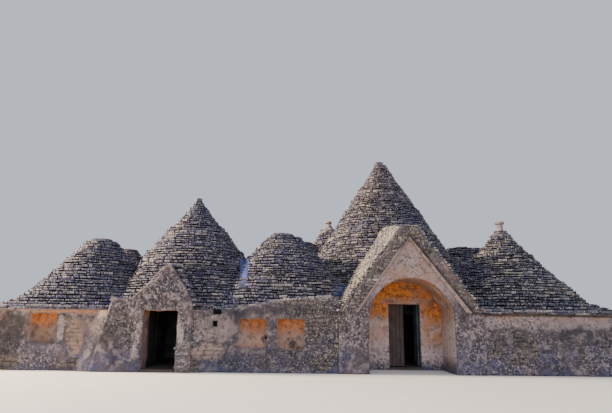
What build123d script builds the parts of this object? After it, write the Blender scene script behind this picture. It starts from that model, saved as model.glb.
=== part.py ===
# Trullo house: a row of dry-stone cones over one thick-walled block, with an arched main porch.
# Millimetres, +X along the front to the right, +Y into the building, +Z up, ground at Z = 0.

import math
import os

from build123d import *

# Block and walls
LENGTH = 22400.0
DEPTH = 11100.0
PLATE_Z = 1850.0
FRONT_WALL = 1200.0
BACK_WALL = 1200.0
SPINE_FRONT = 4800.0
SPINE_WALL = 1200.0

# Eaves
EAVE_OUT = 60.0
EAVE_LIP = 70.0
EAVE_ROUNDING = 0.6
TIER_ROUNDING = 0.97

# Bands of the cones: each starts one step inside the top of the band below
BAND_HEIGHT = 1000.0
BAND_STEP = 60.0
TIER_CLEAR = 100.0

# Corbelled rooms
DOME_RISE = 1.2
DOME_RINGS = 7
DOME_SIDES = 16

# Doorways between rooms
INNER_DOOR = 850.0

# Main porch
PORCH_X = 3330.0
PORCH_HALF = 2250.0
PORCH_PROUD = 120.0
PORCH_DEPTH = 1550.0
ARCH_RADIUS = 1355.0
ARCH_SPRING = 1600.0
RAKE_SLOPE = 1.35
RIDGE_HALF = 230.0
COPING_WIDTH = 510.0
COPING_PROUD = 200.0
RIDGE_ANGLE = 9.0
PORCH_REAR = 4300.0
PORCH_FOOT = 1000.0
DRIP_WIDTH = 70.0
DRIP_PROUD = 60.0

# Main door
DOOR_WIDTH = 1090.0
DOOR_HEAD = 2170.0
DOOR_WALL = 1150.0
DOOR_X = 3400.0
LEAF_SETBACK = 120.0
LEAF_THICK = 45.0
LEAF_GAP = 6.0
LEAF_TOP_GAP = 15.0
LEAF_FLOOR_GAP = 20.0
FLOOR_THICK = 80.0

# Hinges
PIN_RADIUS = 7.0
PIN_FIT = 0.3
PIN_TO_JAMB = 18.0
PIN_TO_LEAF = 16.0
EYE_WALL = 5.0
STRAP_THICK = 6.0
STRAP_HEIGHT = 40.0
STRAP_REACH = 0.75
STRAP_END = 300.0
PIN_LENGTH = 100.0
LEAF_OPEN = 90.0
LEAF_PLANKS = 4
PLANK_GROOVE = 6.0

# Left portal
PORTAL_PROUD = 300.0
PORTAL_LEFT = -6500.0
PORTAL_SHOULDER = 460.0
PORTAL_DOOR_LEFT = -4980.0
PORTAL_DOOR_WIDTH = 1050.0
PORTAL_RIGHT = -3470.0
PORTAL_PEAK = 3200.0

# Left front wall
SKIN_LEFT = -7460.0
SKIN_TOP = 1500.0
SKIN_PROUD = 60.0
LEFT_NICHE = (-8680.0, -7630.0, 790.0, 1730.0)

# Middle wall
PARAPET_THICK = 400.0
NICHE_DEPTH = 180.0
MIDDLE_NICHES = ((-2070.0, -1200.0, 710.0, 1630.0), (-870.0, 20.0, 650.0, 1640.0))
WALL_HOLES = ((-2880.0, -2720.0, 1360.0, 1540.0), (-1240.0, -1160.0, 1000.0, 1080.0))
HOLE_DEPTH = 250.0

# Right cornice
CORNICE_END = 10450.0
CORNICE_PROUD = 80.0

# Pinnacles and cap stones
PINNACLE_NECK = 125.0
PINNACLE_NECK_Z = 230.0
PINNACLE_CUP = 50.0
PINNACLE_DISC = 195.0
PINNACLE_CROWN = 40.0
PINNACLE_TOP = 400.0
CAP_STONES = {
    "main": (420.0, 330.0, 190.0, 20.0),
    "portal": (260.0, 230.0, 110.0, 10.0),
    "middle": (560.0, 420.0, 90.0, -6.0),
}

# Everything is placed from the front wall's face
FRONT = (PORTAL_PROUD - DEPTH - EAVE_OUT) / 2


def box_between(x0, x1, d0, d1, z0, z1, mode=Mode.ADD):
    """Box from X x0 to x1, depth d0 to d1 behind the front face, height z0 to z1."""
    with Locations(((x0 + x1) / 2, FRONT + (d0 + d1) / 2, (z0 + z1) / 2)):
        Box(abs(x1 - x0), abs(d1 - d0), abs(z1 - z0), mode=mode)


def upright(depth):
    """Vertical sketch plane at this depth; extruding by a negative amount runs into the building."""
    return Plane(origin=(0, FRONT + depth, 0), x_dir=(1, 0, 0), z_dir=(0, -1, 0))


def keep(builder, name):
    """Names the finished piece and writes it."""
    builder.part.label = name
    export_step(builder.part, f"parts/{name}.step")


# Cones: centre X and depth, half sizes of the eave, then tiers as height and radius
CONES = {
    "main": ((3300, 5650), (4260, 4260), ((4150, 2900), (5750, 1935), (7200, 1010), (8380, 290))),
    "right": ((7450, 3000), (3000, 3060), ((2200, 2760), (2800, 2200), (3640, 1350), (5000, 210))),
    "portal": ((-4180, 3200), (3000, 3000), ((2360, 2880), (2950, 2440), (4000, 1840), (5950, 250),
                                             (6100, 150))),
    "middle": ((-810, 2900), (2550, 2550), ((3050, 2000), (3900, 1270), (4440, 770), (4800, 330))),
    "left": ((-7650, 2750), (2750, 2810), ((2230, 2500), (2850, 1900), (3680, 1200), (4530, 460))),
    "rear_spire": ((1100, 8500), (2450, 2450), ((3400, 1650), (5300, 640), (6000, 270))),
    "rear_right": ((7800, 8300), (2900, 2860), ((3500, 2050), (5080, 950))),
    "rear_left": ((-8600, 8300), (2540, 2860), ((3300, 1700), (4900, 480))),
    "rear_middle": ((-410, 8300), (2500, 2860), ((3700, 1650), (5250, 720))),
    "rear_low": ((-4600, 8300), (2700, 2860), ((3200, 1600), (4250, 520))),
}

# Rooms: X from and to, depth from and to
REAR_FRONT = SPINE_FRONT + SPINE_WALL
REAR_BACK = DEPTH - BACK_WALL
ROOMS = {
    "left": (-9200, -6100, FRONT_WALL, SPINE_FRONT),
    "portal": (-5530, -2830, FRONT_WALL, SPINE_FRONT),
    "middle": (-2110, 490, FRONT_WALL, SPINE_FRONT),
    "main": (1400, 5200, PORCH_DEPTH + DOOR_WALL, 8600),
    "right": (5950, 8950, FRONT_WALL, SPINE_FRONT),
    "rear_left": (-9900, -7300, REAR_FRONT, REAR_BACK),
    "rear_low": (-5900, -3300, REAR_FRONT, REAR_BACK),
    "rear_middle": (-1600, 800, REAR_FRONT, REAR_BACK),
    "rear_right": (6400, 9200, REAR_FRONT, REAR_BACK),
}

# Inner doorways: two rooms side by side and a centre depth, or front and rear rooms and a centre X
WAYS_ACROSS = (("left", "portal", 3000), ("middle", "main", 3900), ("main", "right", 3900))
WAYS_BACK = (
    ("left", "rear_left", -8250),
    ("portal", "rear_low", -4600),
    ("middle", "rear_middle", -900),
    ("right", "rear_right", 7800),
)


def blended(levels, z):
    """Half width, half depth and corner at height z, blended evenly between the levels next to it."""
    for below, above in zip(levels, levels[1:]):
        if z <= above[0]:
            break
    share = (z - below[0]) / (above[0] - below[0])
    return [low + share * (high - low) for low, high in zip(below[1:], above[1:])]


def cone_bands(name):
    """Sections of each band of a cone, from the eave up: height, half width, half depth and corner.

    A band leans in less than the cone as a whole, so that it ends half a step outside the cone's line and
    the next starts half a step inside it."""
    _, (half_x, half_y), tiers = CONES[name]
    eave, top = PLATE_Z + EAVE_LIP, tiers[-1][0]
    levels = [(eave, half_x, half_y, EAVE_ROUNDING * min(half_x, half_y))]
    levels += [(z, radius, radius, TIER_ROUNDING * radius) for z, radius in tiers]
    count = round((top - eave) / BAND_HEIGHT)
    height = (top - eave) / count
    bands = []
    for band in range(count):
        low, high = eave + band * height, eave + (band + 1) * height
        between = [z for z, _ in tiers if low + TIER_CLEAR < z < high - TIER_CLEAR]
        sections = []
        for z in (low, *between, high):
            out = 0.0 if z == eave else BAND_STEP * ((z - low) / height - 0.5)
            sections.append((z, *[size + out for size in blended(levels, z)]))
        bands.append(sections)
    return bands


def raw_cone(name):
    """Outer form of one cone: a rounded square eave, then bands that blend into a near-round, broken top."""
    (x, depth), (half_x, half_y), _ = CONES[name]
    centre = (x, FRONT + depth)
    with BuildPart(mode=Mode.PRIVATE) as cone:
        with BuildSketch(Plane.XY.offset(PLATE_Z)):
            with Locations(centre):
                RectangleRounded(2 * half_x, 2 * half_y, EAVE_ROUNDING * min(half_x, half_y))
        extrude(amount=EAVE_LIP)
        for sections in cone_bands(name):
            for z, wide, deep, corner in sections:
                with BuildSketch(Plane.XY.offset(z)):
                    with Locations(centre):
                        RectangleRounded(2 * wide, 2 * deep, corner)
            loft(ruled=True)
    return cone.part


def corbel_dome(name):
    """Void of one room above the plate: rings of stones that step inwards to a closing slab."""
    x0, x1, d0, d1 = ROOMS[name]
    (x, depth), _, _ = CONES[name]
    radius = min(x1 - x0, d1 - d0, 2 * (depth - d0), 2 * (d1 - depth)) / 2
    ring_height = DOME_RISE * radius / DOME_RINGS
    with BuildPart(mode=Mode.PRIVATE) as dome:
        for ring in range(DOME_RINGS):
            inner = radius * math.sqrt(1 - (ring / DOME_RINGS) ** 2)
            with BuildSketch(Plane.XY.offset(PLATE_Z + ring * ring_height)):
                with Locations((x, FRONT + depth)):
                    RegularPolygon(inner, DOME_SIDES, major_radius=False)
            extrude(amount=ring_height)
    return dome.part


# The porch's rakes run from the eaves, at the plate, up to a narrow flat ridge
PORCH_PEAK = PLATE_Z + RAKE_SLOPE * (PORCH_HALF - RIDGE_HALF)
PORCH_INNER_PEAK = PLATE_Z + RAKE_SLOPE * (PORCH_HALF - COPING_WIDTH)
PORCH_LEFT = PORCH_X - PORCH_HALF
PORCH_RIGHT = PORCH_X + PORCH_HALF
DOOR_BACK = PORCH_DEPTH + DOOR_WALL


def upright_block(points, depth_0, depth_1):
    """Upright outline in X and Z, run from depth_0 to depth_1."""
    with BuildPart(mode=Mode.PRIVATE) as block:
        with BuildSketch(upright(depth_0)):
            with BuildLine():
                Polyline(*points, close=True)
            make_face()
        extrude(amount=depth_0 - depth_1)
    return block.part


def sloped_prism(points, depth_0, depth_1):
    """Outline drawn at the coping's face, about the porch's middle, and swept back up the ridge.

    The outline reaches below the plate, and the sweep is trimmed level there."""
    angle = math.radians(RIDGE_ANGLE)
    rise_0 = math.tan(angle) * (depth_0 + COPING_PROUD)
    plane = Plane(origin=(PORCH_X, FRONT + depth_0, rise_0), x_dir=(1, 0, 0), z_dir=(0, -1, 0))
    with BuildPart(mode=Mode.PRIVATE) as prism:
        with BuildSketch(plane):
            with BuildLine():
                Polyline(*points, close=True)
            make_face()
        length = (depth_1 - depth_0) / math.cos(angle)
        extrude(amount=length, dir=(0, math.cos(angle), math.sin(angle)))
        box_between(-LENGTH, LENGTH, -DEPTH, 2 * DEPTH, -DEPTH, PLATE_Z, Mode.SUBTRACT)
    return prism.part


def rake_outline(half, top_half):
    """Gable outline whose rakes reach this half width at the plate and the flat top given."""
    low = half + PORCH_FOOT / RAKE_SLOPE
    peak = PLATE_Z + RAKE_SLOPE * (half - top_half)
    foot = PLATE_Z - PORCH_FOOT
    if top_half == 0:
        return ((-low, foot), (low, foot), (0, peak))
    return ((-low, foot), (low, foot), (top_half, peak), (-top_half, peak))


def roof_outline():
    return rake_outline(PORCH_HALF, RIDGE_HALF)


def core_outline():
    return rake_outline(PORCH_HALF - COPING_WIDTH, 0)


def drip_outline():
    return rake_outline(PORCH_HALF - COPING_WIDTH - DRIP_WIDTH, 0)


def portal_outline():
    """Rough gable over the left portal, its shoulder falling to the left."""
    return (
        (PORTAL_LEFT + PORTAL_SHOULDER, PLATE_Z),
        (PORTAL_RIGHT, PLATE_Z),
        (PORTAL_RIGHT, 2010),
        (-4040, PORTAL_PEAK),
        (-4250, PORTAL_PEAK),
        (-5370, 2160),
        (PORTAL_LEFT + PORTAL_SHOULDER + 80, 2130),
    )


def parapet_outline():
    """Middle wall above the plate, rising to the right until the porch's rake."""
    return (
        (PORTAL_RIGHT, PLATE_Z),
        (1500, PLATE_Z),
        (1500, 2320),
        (1110, 2310),
        (-160, 2230),
        (-1410, 2060),
        (-2200, 1900),
        (-2700, 1890),
        (-2700, PLATE_Z),
        (-2910, PLATE_Z),
        (-2910, 1880),
        (PORTAL_RIGHT, 1865),
    )


def way_plans():
    """Plans of the inner doorways, each from one room's wall face to the next room's."""
    half = INNER_DOOR / 2
    across = [(ROOMS[a][1], ROOMS[b][0], depth - half, depth + half) for a, b, depth in WAYS_ACROSS]
    back = [(x - half, x + half, ROOMS[a][3], ROOMS[b][2]) for a, b, x in WAYS_BACK]
    return across + back


def near(a, b):
    """Whether two parts' boxes meet, so that a cut is worth making."""
    box_a, box_b = a.bounding_box(), b.bounding_box()
    return all(
        low <= high for low, high in zip((*box_a.min, *box_b.min), (*box_b.max, *box_a.max))
    )


# Roof cones, each cut back where one built before it, the porch or a room's dome stands
os.makedirs("parts", exist_ok=True)

cones = {name: raw_cone(name) for name in CONES}
domes = {name: corbel_dome(name) for name in ROOMS}

porch_front = sloped_prism(roof_outline(), -COPING_PROUD, DOOR_BACK)
porch_rear = sloped_prism(roof_outline(), DOOR_BACK, PORCH_REAR) - cones["main"]
core_rear = sloped_prism(core_outline(), DOOR_BACK, PORCH_REAR) - cones["main"]
portal_body = upright_block(portal_outline(), -PORTAL_PROUD, FRONT_WALL)
parapet_body = upright_block(parapet_outline(), 0, PARAPET_THICK) - porch_front

CUTTERS = {
    "main": (porch_front,),
    "right": (porch_front, porch_rear),
    "portal": (portal_body, parapet_body),
    "middle": (porch_front, porch_rear, parapet_body),
    "left": (portal_body,),
}

built = []
for name in CONES:
    with BuildPart() as roof:
        add(cones[name])
        for cutter in (*CUTTERS.get(name, ()), *built, *domes.values()):
            if near(cones[name], cutter):
                add(cutter, mode=Mode.SUBTRACT)
    built.append(cones[name])
    keep(roof, f"{name}_cone")


# Walls of the block: each takes its region of the plan, less the rooms and the ways between them
WALLS = {
    "left_end_wall": (-LENGTH / 2, ROOMS["left"][0], FRONT_WALL, REAR_BACK),
    "left_partitions": (ROOMS["left"][0], ROOMS["middle"][1], FRONT_WALL, SPINE_FRONT),
    "left_spine_wall": (ROOMS["left"][0], ROOMS["middle"][1], SPINE_FRONT, REAR_FRONT),
    "rear_partitions": (ROOMS["left"][0], ROOMS["middle"][1], REAR_FRONT, REAR_BACK),
    "main_room_left_wall": (ROOMS["middle"][1], ROOMS["main"][0], FRONT_WALL, REAR_BACK),
    "main_room_rear_wall": (ROOMS["main"][0], ROOMS["main"][1], DOOR_BACK, REAR_BACK),
    "main_room_right_wall": (ROOMS["main"][1], ROOMS["rear_right"][0], FRONT_WALL, REAR_BACK),
    "right_spine_wall": (ROOMS["rear_right"][0], ROOMS["right"][1], SPINE_FRONT, REAR_FRONT),
    "right_end_wall": (ROOMS["right"][1], LENGTH / 2, FRONT_WALL, REAR_BACK),
    "back_wall": (-LENGTH / 2, LENGTH / 2, REAR_BACK, DEPTH),
}

for name, (x0, x1, d0, d1) in WALLS.items():
    with BuildPart() as wall:
        box_between(x0, x1, d0, d1, 0, PLATE_Z)
        for room in ROOMS.values():
            box_between(*room, 0, PLATE_Z, Mode.SUBTRACT)
        for way in way_plans():
            box_between(*way, 0, PLATE_Z, Mode.SUBTRACT)
        box_between(PORCH_LEFT, PORCH_RIGHT, 0, DOOR_BACK, 0, PLATE_Z, Mode.SUBTRACT)
    keep(wall, name)


# Left front wall with its shallow niche and the proud lower coursing beside the portal
with BuildPart() as left_front_wall:
    box_between(-LENGTH / 2, PORTAL_LEFT, 0, FRONT_WALL, 0, PLATE_Z)
    box_between(SKIN_LEFT, PORTAL_LEFT, -SKIN_PROUD, 0, 0, SKIN_TOP)
    box_between(*LEFT_NICHE[:2], 0, NICHE_DEPTH, *LEFT_NICHE[2:], Mode.SUBTRACT)
keep(left_front_wall, "left_front_wall")

# Left portal: a battered pier, a plain pier and a rough gable over the head of the door
with BuildPart() as portal_left_pier:
    with BuildSketch(upright(-PORTAL_PROUD)):
        with BuildLine():
            Polyline(
                (PORTAL_LEFT, 0),
                (PORTAL_DOOR_LEFT, 0),
                (PORTAL_DOOR_LEFT, PLATE_Z),
                (PORTAL_LEFT + PORTAL_SHOULDER, PLATE_Z),
                close=True,
            )
        make_face()
    extrude(amount=-PORTAL_PROUD)
    box_between(PORTAL_LEFT, PORTAL_DOOR_LEFT, 0, FRONT_WALL, 0, PLATE_Z)
keep(portal_left_pier, "portal_left_pier")

with BuildPart() as portal_right_pier:
    box_between(PORTAL_DOOR_LEFT + PORTAL_DOOR_WIDTH, PORTAL_RIGHT, -PORTAL_PROUD, FRONT_WALL, 0, PLATE_Z)
keep(portal_right_pier, "portal_right_pier")

with BuildPart() as portal_gable:
    add(portal_body)
keep(portal_gable, "portal_gable")

# Middle wall, with two deep-set niches, a square hole and a notch in its rising top
with BuildPart() as middle_wall:
    box_between(PORTAL_RIGHT, PORCH_LEFT, 0, FRONT_WALL, 0, PLATE_Z)
    add(parapet_body)
    for niche in MIDDLE_NICHES:
        box_between(*niche[:2], 0, NICHE_DEPTH, *niche[2:], Mode.SUBTRACT)
    for hole in WALL_HOLES:
        box_between(*hole[:2], 0, HOLE_DEPTH, *hole[2:], Mode.SUBTRACT)
keep(middle_wall, "middle_wall")

# Right front wall and the thin cornice that carries the porch's drip along it
with BuildPart() as right_front_wall:
    box_between(PORCH_RIGHT, LENGTH / 2, 0, FRONT_WALL, 0, PLATE_Z)
keep(right_front_wall, "right_front_wall")

with BuildPart() as right_cornice:
    box_between(PORCH_RIGHT, CORNICE_END, -CORNICE_PROUD, 0, PLATE_Z - DRIP_WIDTH, PLATE_Z)
keep(right_cornice, "right_cornice")


# Main porch: two piers, a barrel vault through the gable, the door's wall and the slab roof
with BuildPart() as arch:
    with BuildSketch(upright(-PORCH_PROUD)):
        with Locations((PORCH_X, ARCH_SPRING)):
            Circle(ARCH_RADIUS)
            Rectangle(2 * ARCH_RADIUS, ARCH_SPRING, align=(Align.CENTER, Align.MAX))
    extrude(amount=-(PORCH_PROUD + PORCH_DEPTH))

for side, name in ((-1, "porch_left_pier"), (1, "porch_right_pier")):
    inner, outer = PORCH_X + side * ARCH_RADIUS, PORCH_X + side * PORCH_HALF
    with BuildPart() as pier:
        box_between(inner, outer, -PORCH_PROUD, PORCH_DEPTH, 0, ARCH_SPRING)
    keep(pier, name)

with BuildPart() as porch_gable:
    box_between(PORCH_LEFT, PORCH_RIGHT, -PORCH_PROUD, PORCH_DEPTH, ARCH_SPRING, PLATE_Z)
    add(sloped_prism(core_outline(), -PORCH_PROUD, PORCH_DEPTH))
    add(arch.part, mode=Mode.SUBTRACT)
keep(porch_gable, "porch_gable")

DOOR_LEFT, DOOR_RIGHT = DOOR_X - DOOR_WIDTH / 2, DOOR_X + DOOR_WIDTH / 2
for x0, x1, name in ((PORCH_LEFT, DOOR_LEFT, "door_left_wall"), (DOOR_RIGHT, PORCH_RIGHT, "door_right_wall")):
    with BuildPart() as jamb_wall:
        box_between(x0, x1, PORCH_DEPTH, DOOR_BACK, 0, PLATE_Z)
    keep(jamb_wall, name)

with BuildPart() as door_head_wall:
    add(sloped_prism(core_outline(), PORCH_DEPTH, DOOR_BACK))
    box_between(DOOR_LEFT, DOOR_RIGHT, PORCH_DEPTH, DOOR_BACK, PLATE_Z, DOOR_HEAD, Mode.SUBTRACT)
keep(door_head_wall, "door_head_wall")

with BuildPart() as porch_saddle:
    add(core_rear)
keep(porch_saddle, "porch_saddle")

roof_band = sloped_prism(roof_outline(), -COPING_PROUD, DOOR_BACK) + porch_rear
core_band = sloped_prism(core_outline(), -COPING_PROUD, PORCH_REAR)
for side, name in ((-1, "porch_left_slope"), (1, "porch_right_slope")):
    with BuildPart() as slope:
        add(roof_band)
        add(core_band, mode=Mode.SUBTRACT)
        split(bisect_by=Plane(origin=(PORCH_X, 0, 0), z_dir=(side, 0, 0)), keep=Keep.TOP)
    keep(slope, name)

# Drip moulding, a thin band under the coping's inner edge
with BuildPart() as drip_moulding:
    add(sloped_prism(core_outline(), -PORCH_PROUD - DRIP_PROUD, -PORCH_PROUD))
    add(sloped_prism(drip_outline(), -PORCH_PROUD - DRIP_PROUD, -PORCH_PROUD), mode=Mode.SUBTRACT)
keep(drip_moulding, "drip_moulding")


# Stone floors of the two rooms that the doors show
with BuildPart() as main_floor:
    box_between(*ROOMS["main"], 0, FLOOR_THICK)
    box_between(DOOR_LEFT, DOOR_RIGHT, PORCH_DEPTH, DOOR_BACK, 0, FLOOR_THICK)
keep(main_floor, "main_floor")

with BuildPart() as left_floor:
    box_between(*ROOMS["portal"], 0, FLOOR_THICK)
    box_between(PORTAL_DOOR_LEFT, PORTAL_DOOR_LEFT + PORTAL_DOOR_WIDTH, -PORTAL_PROUD, FRONT_WALL, 0, FLOOR_THICK)
keep(left_floor, "left_floor")


# Whitewashed pinnacles, turned as a flared foot, a neck and a disc
with BuildPart() as pinnacles:
    for name in ("right", "rear_spire"):
        (x, depth), _, tiers = CONES[name]
        top, radius = tiers[-1]
        plane = Plane(origin=(x, FRONT + depth, top), x_dir=(1, 0, 0), z_dir=(0, -1, 0))
        with BuildSketch(plane):
            with BuildLine():
                foot = Line((0, 0), (TIER_ROUNDING * radius, 0))
                flare = ThreePointArc(
                    foot @ 1, (0.62 * radius, 0.4 * PINNACLE_NECK_Z), (PINNACLE_NECK, PINNACLE_NECK_Z)
                )
                cup = Line(flare @ 1, (PINNACLE_DISC, PINNACLE_NECK_Z + PINNACLE_CUP))
                rim = Line(cup @ 1, (PINNACLE_DISC, PINNACLE_TOP - PINNACLE_CROWN))
                crown = Line(rim @ 1, (0, PINNACLE_TOP))
                Line(crown @ 1, (0, 0))
            make_face()
        revolve(axis=Axis((x, FRONT + depth, 0), (0, 0, 1)))
keep(pinnacles, "pinnacles")

# Loose cap stones that close the three plain cones
with BuildPart() as cap_stones:
    for name, (wide, deep, high, turn) in CAP_STONES.items():
        (x, depth), _, tiers = CONES[name]
        with BuildSketch(Plane.XY.offset(tiers[-1][0])):
            with Locations(Location((x, FRONT + depth), turn)):
                Rectangle(wide, deep)
                chamfer(vertices().group_by(Axis.X)[-1], length=deep / 4)
        extrude(amount=high, taper=4)
keep(cap_stones, "cap_stones")


# Double door: plank leaves on iron straps that turn on pins let into the jambs
LEAF_FRONT = PORCH_DEPTH + LEAF_SETBACK
LEAF_BACK = LEAF_FRONT + LEAF_THICK
LEAF_WIDTH = (DOOR_WIDTH - 3 * LEAF_GAP) / 2
LEAF_LOW = FLOOR_THICK + LEAF_FLOOR_GAP
LEAF_HIGH = DOOR_HEAD - LEAF_TOP_GAP
PIN_DEPTH = LEAF_BACK + PIN_TO_LEAF
STRAP_ZS = (LEAF_LOW + STRAP_END, LEAF_HIGH - STRAP_END)


def leaf_turn(side):
    """Leaf's turn at rest: the left one stands closed, the right one open into the passage."""
    return 0.0 if side < 0 else -LEAF_OPEN


def pin_x(side):
    return DOOR_X + side * (DOOR_WIDTH / 2 - PIN_TO_JAMB)


def turned(part, side):
    """Leaf part swung about its pin to its place at rest."""
    return part.rotate(Axis((pin_x(side), FRONT + PIN_DEPTH, 0), (0, 0, 1)), leaf_turn(side))


for side, word in ((-1, "left"), (1, "right")):
    hung = DOOR_X + side * (DOOR_WIDTH / 2 - LEAF_GAP)
    free = hung - side * LEAF_WIDTH
    with BuildPart(mode=Mode.PRIVATE) as closed_leaf:
        box_between(free, hung, LEAF_FRONT, LEAF_BACK, LEAF_LOW, LEAF_HIGH)
        for plank in range(1, LEAF_PLANKS):
            joint_x = free + (hung - free) * plank / LEAF_PLANKS
            box_between(
                joint_x - PLANK_GROOVE / 2, joint_x + PLANK_GROOVE / 2,
                LEAF_FRONT, LEAF_FRONT + PLANK_GROOVE, LEAF_LOW, LEAF_HIGH, Mode.SUBTRACT,
            )
    with BuildPart() as leaf:
        add(turned(closed_leaf.part, side))
    keep(leaf, f"door_{word}_leaf")

    with BuildPart(mode=Mode.PRIVATE) as closed_straps:
        for z in STRAP_ZS:
            low, high = z - STRAP_HEIGHT / 2, z + STRAP_HEIGHT / 2
            eye = PIN_RADIUS + PIN_FIT + EYE_WALL
            box_between(
                hung - side * STRAP_REACH * LEAF_WIDTH, pin_x(side), LEAF_BACK, LEAF_BACK + STRAP_THICK, low, high
            )
            with BuildSketch(Plane.XY.offset(low)):
                with Locations((pin_x(side), FRONT + PIN_DEPTH)):
                    Circle(eye)
            extrude(amount=STRAP_HEIGHT)
            with BuildSketch(Plane.XY.offset(low)):
                with Locations((pin_x(side), FRONT + PIN_DEPTH)):
                    Circle(PIN_RADIUS + PIN_FIT)
            extrude(amount=STRAP_HEIGHT, mode=Mode.SUBTRACT)
    with BuildPart() as straps:
        add(turned(closed_straps.part, side))
    keep(straps, f"door_{word}_straps")

with BuildPart() as hinge_pins:
    for side in (-1, 1):
        jamb = DOOR_X + side * DOOR_WIDTH / 2
        for z in STRAP_ZS:
            base = z - PIN_LENGTH / 2 - PIN_RADIUS
            with BuildSketch(Plane.XY.offset(base)):
                with Locations((pin_x(side), FRONT + PIN_DEPTH)):
                    Circle(PIN_RADIUS)
            extrude(amount=PIN_LENGTH)
            box_between(
                pin_x(side), jamb, PIN_DEPTH - PIN_RADIUS, PIN_DEPTH + PIN_RADIUS, base, base + 2 * PIN_RADIUS
            )
keep(hinge_pins, "hinge_pins")
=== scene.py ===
"""Trullo house: the looks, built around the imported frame.

Every loose slab of the cones, the worn plaster skins, the porch, the planks and the pinnacles are surfaces
worked out with numpy, in metres, in the frame's own axes: +X along the front, +Y into the building, +Z up.
"""

from __future__ import annotations

import logging
import math
from collections.abc import Callable, Sequence
from dataclasses import dataclass, field
from enum import Enum

import bpy
import numpy as np
from mathutils import Matrix, Vector


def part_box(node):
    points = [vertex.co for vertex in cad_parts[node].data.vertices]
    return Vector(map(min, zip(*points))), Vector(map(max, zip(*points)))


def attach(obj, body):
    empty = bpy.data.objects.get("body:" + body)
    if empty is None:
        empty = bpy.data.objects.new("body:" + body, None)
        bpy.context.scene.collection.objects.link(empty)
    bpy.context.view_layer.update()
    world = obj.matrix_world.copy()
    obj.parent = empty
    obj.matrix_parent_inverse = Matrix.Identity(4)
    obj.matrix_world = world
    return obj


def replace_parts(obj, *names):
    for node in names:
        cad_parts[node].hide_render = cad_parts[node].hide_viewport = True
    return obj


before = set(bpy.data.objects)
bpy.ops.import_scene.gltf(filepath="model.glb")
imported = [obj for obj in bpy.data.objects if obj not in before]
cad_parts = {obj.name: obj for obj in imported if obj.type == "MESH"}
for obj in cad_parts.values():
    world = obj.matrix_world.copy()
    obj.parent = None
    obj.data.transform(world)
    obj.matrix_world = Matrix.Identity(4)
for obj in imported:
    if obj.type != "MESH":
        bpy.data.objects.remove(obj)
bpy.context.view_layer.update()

logging.basicConfig(level=logging.INFO, format="%(message)s")
log = logging.getLogger("trullo")

HOUSE = "house"

FRONT_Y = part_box("right_front_wall")[0].y
BACK_LOW, BACK_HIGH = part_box("back_wall")
PLATE_Z, BACK_Y, LEFT_X, RIGHT_X = BACK_HIGH.z, BACK_HIGH.y, BACK_LOW.x, BACK_HIGH.x
DOOR_WALL_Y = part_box("door_left_wall")[0].y
GABLE_LOW, GABLE_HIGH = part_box("porch_gable")
PORCH_X, PORCH_HALF = (GABLE_LOW.x + GABLE_HIGH.x) / 2, (GABLE_HIGH.x - GABLE_LOW.x) / 2
PORCH_Y = GABLE_LOW.y
ARCH_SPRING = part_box("porch_left_pier")[1].z
ARCH_RADIUS = PORCH_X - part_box("porch_left_pier")[1].x
COPING_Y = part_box("porch_left_slope")[0].y
PORTAL_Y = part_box("portal_gable")[0].y

# Cones: rise of the eave's lip, corner radius as a share of the half width at the eave and above it, height
# of a band of courses, how far a band leans out over its height, least run from a tier to a band's end
EAVE_LIP = 0.07
EAVE_ROUNDING = 0.6
TIER_ROUNDING = 0.97
BAND_HEIGHT = 1.0
BAND_STEP = 0.06
TIER_CLEAR = 0.1

# Porch: slope of its rakes, half width of its flat ridge and, at the plate, of its coping's inner edge, how
# much higher that edge peaks and how much further out its right foot stands than on the solids, slope of its
# ridge, height of its peak, how deep its roof runs and the door's head
RAKE_SLOPE = 1.35
RIDGE_HALF = 0.23
COPING_FOOT = PORCH_HALF - 0.51
COPING_RISE = 0.125
COPING_SHIFT = 0.2
RIDGE_ANGLE = math.radians(9.0)
PORCH_PEAK = PLATE_Z + RAKE_SLOPE * (PORCH_HALF - RIDGE_HALF)
PORCH_ROOF_DEPTH = 4.3
DOOR_HEAD = 2.17

# Left ends of the middle wall's face and of the proud lower coursing beside the left portal
MIDDLE_FACE_X = -3.482
LOWER_SKIN_X = -7.46

UP = np.array([0, 0, 1.0])
STONE_CORNERS = 12

Array = np.ndarray
Laid = tuple[Array, Array]
Skin = tuple[Array, list[list[int]]]
Material = bpy.types.Material
Socket = bpy.types.NodeSocket


class Slot(Enum):
    """Names of material slots; no piece here takes its finish from them."""

    PLASTER = "plastered_stone"
    SLABS = "roof_slabs"
    MOULDING = "moulding_stone"
    WHITEWASH = "whitewash"
    WOOD = "door_wood"


# Noise and mesh helpers


def value_noise(x: Array, y: Array, size: float, seed: int) -> Array:
    """Smooth random heights: lattice values blended by the curve 3t^2 - 2t^3.

    Args:
        x: first coordinate in metres.
        y: second coordinate in metres.
        size: distance between lattice points in metres.
        seed: picks the lattice.

    Returns:
        Heights from 0 to 1.
    """
    table = np.random.default_rng(seed).random((61, 61))
    gx, gy = np.asarray(x) / size, np.asarray(y) / size
    ix, iy = np.floor(gx).astype(int), np.floor(gy).astype(int)
    fx, fy = gx - ix, gy - iy
    fx, fy = fx * fx * (3 - 2 * fx), fy * fy * (3 - 2 * fy)
    low = table[ix % 61, iy % 61] * (1 - fx) + table[(ix + 1) % 61, iy % 61] * fx
    high = table[ix % 61, (iy + 1) % 61] * (1 - fx) + table[(ix + 1) % 61, (iy + 1) % 61] * fx
    return low * (1 - fy) + high * fy


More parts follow.
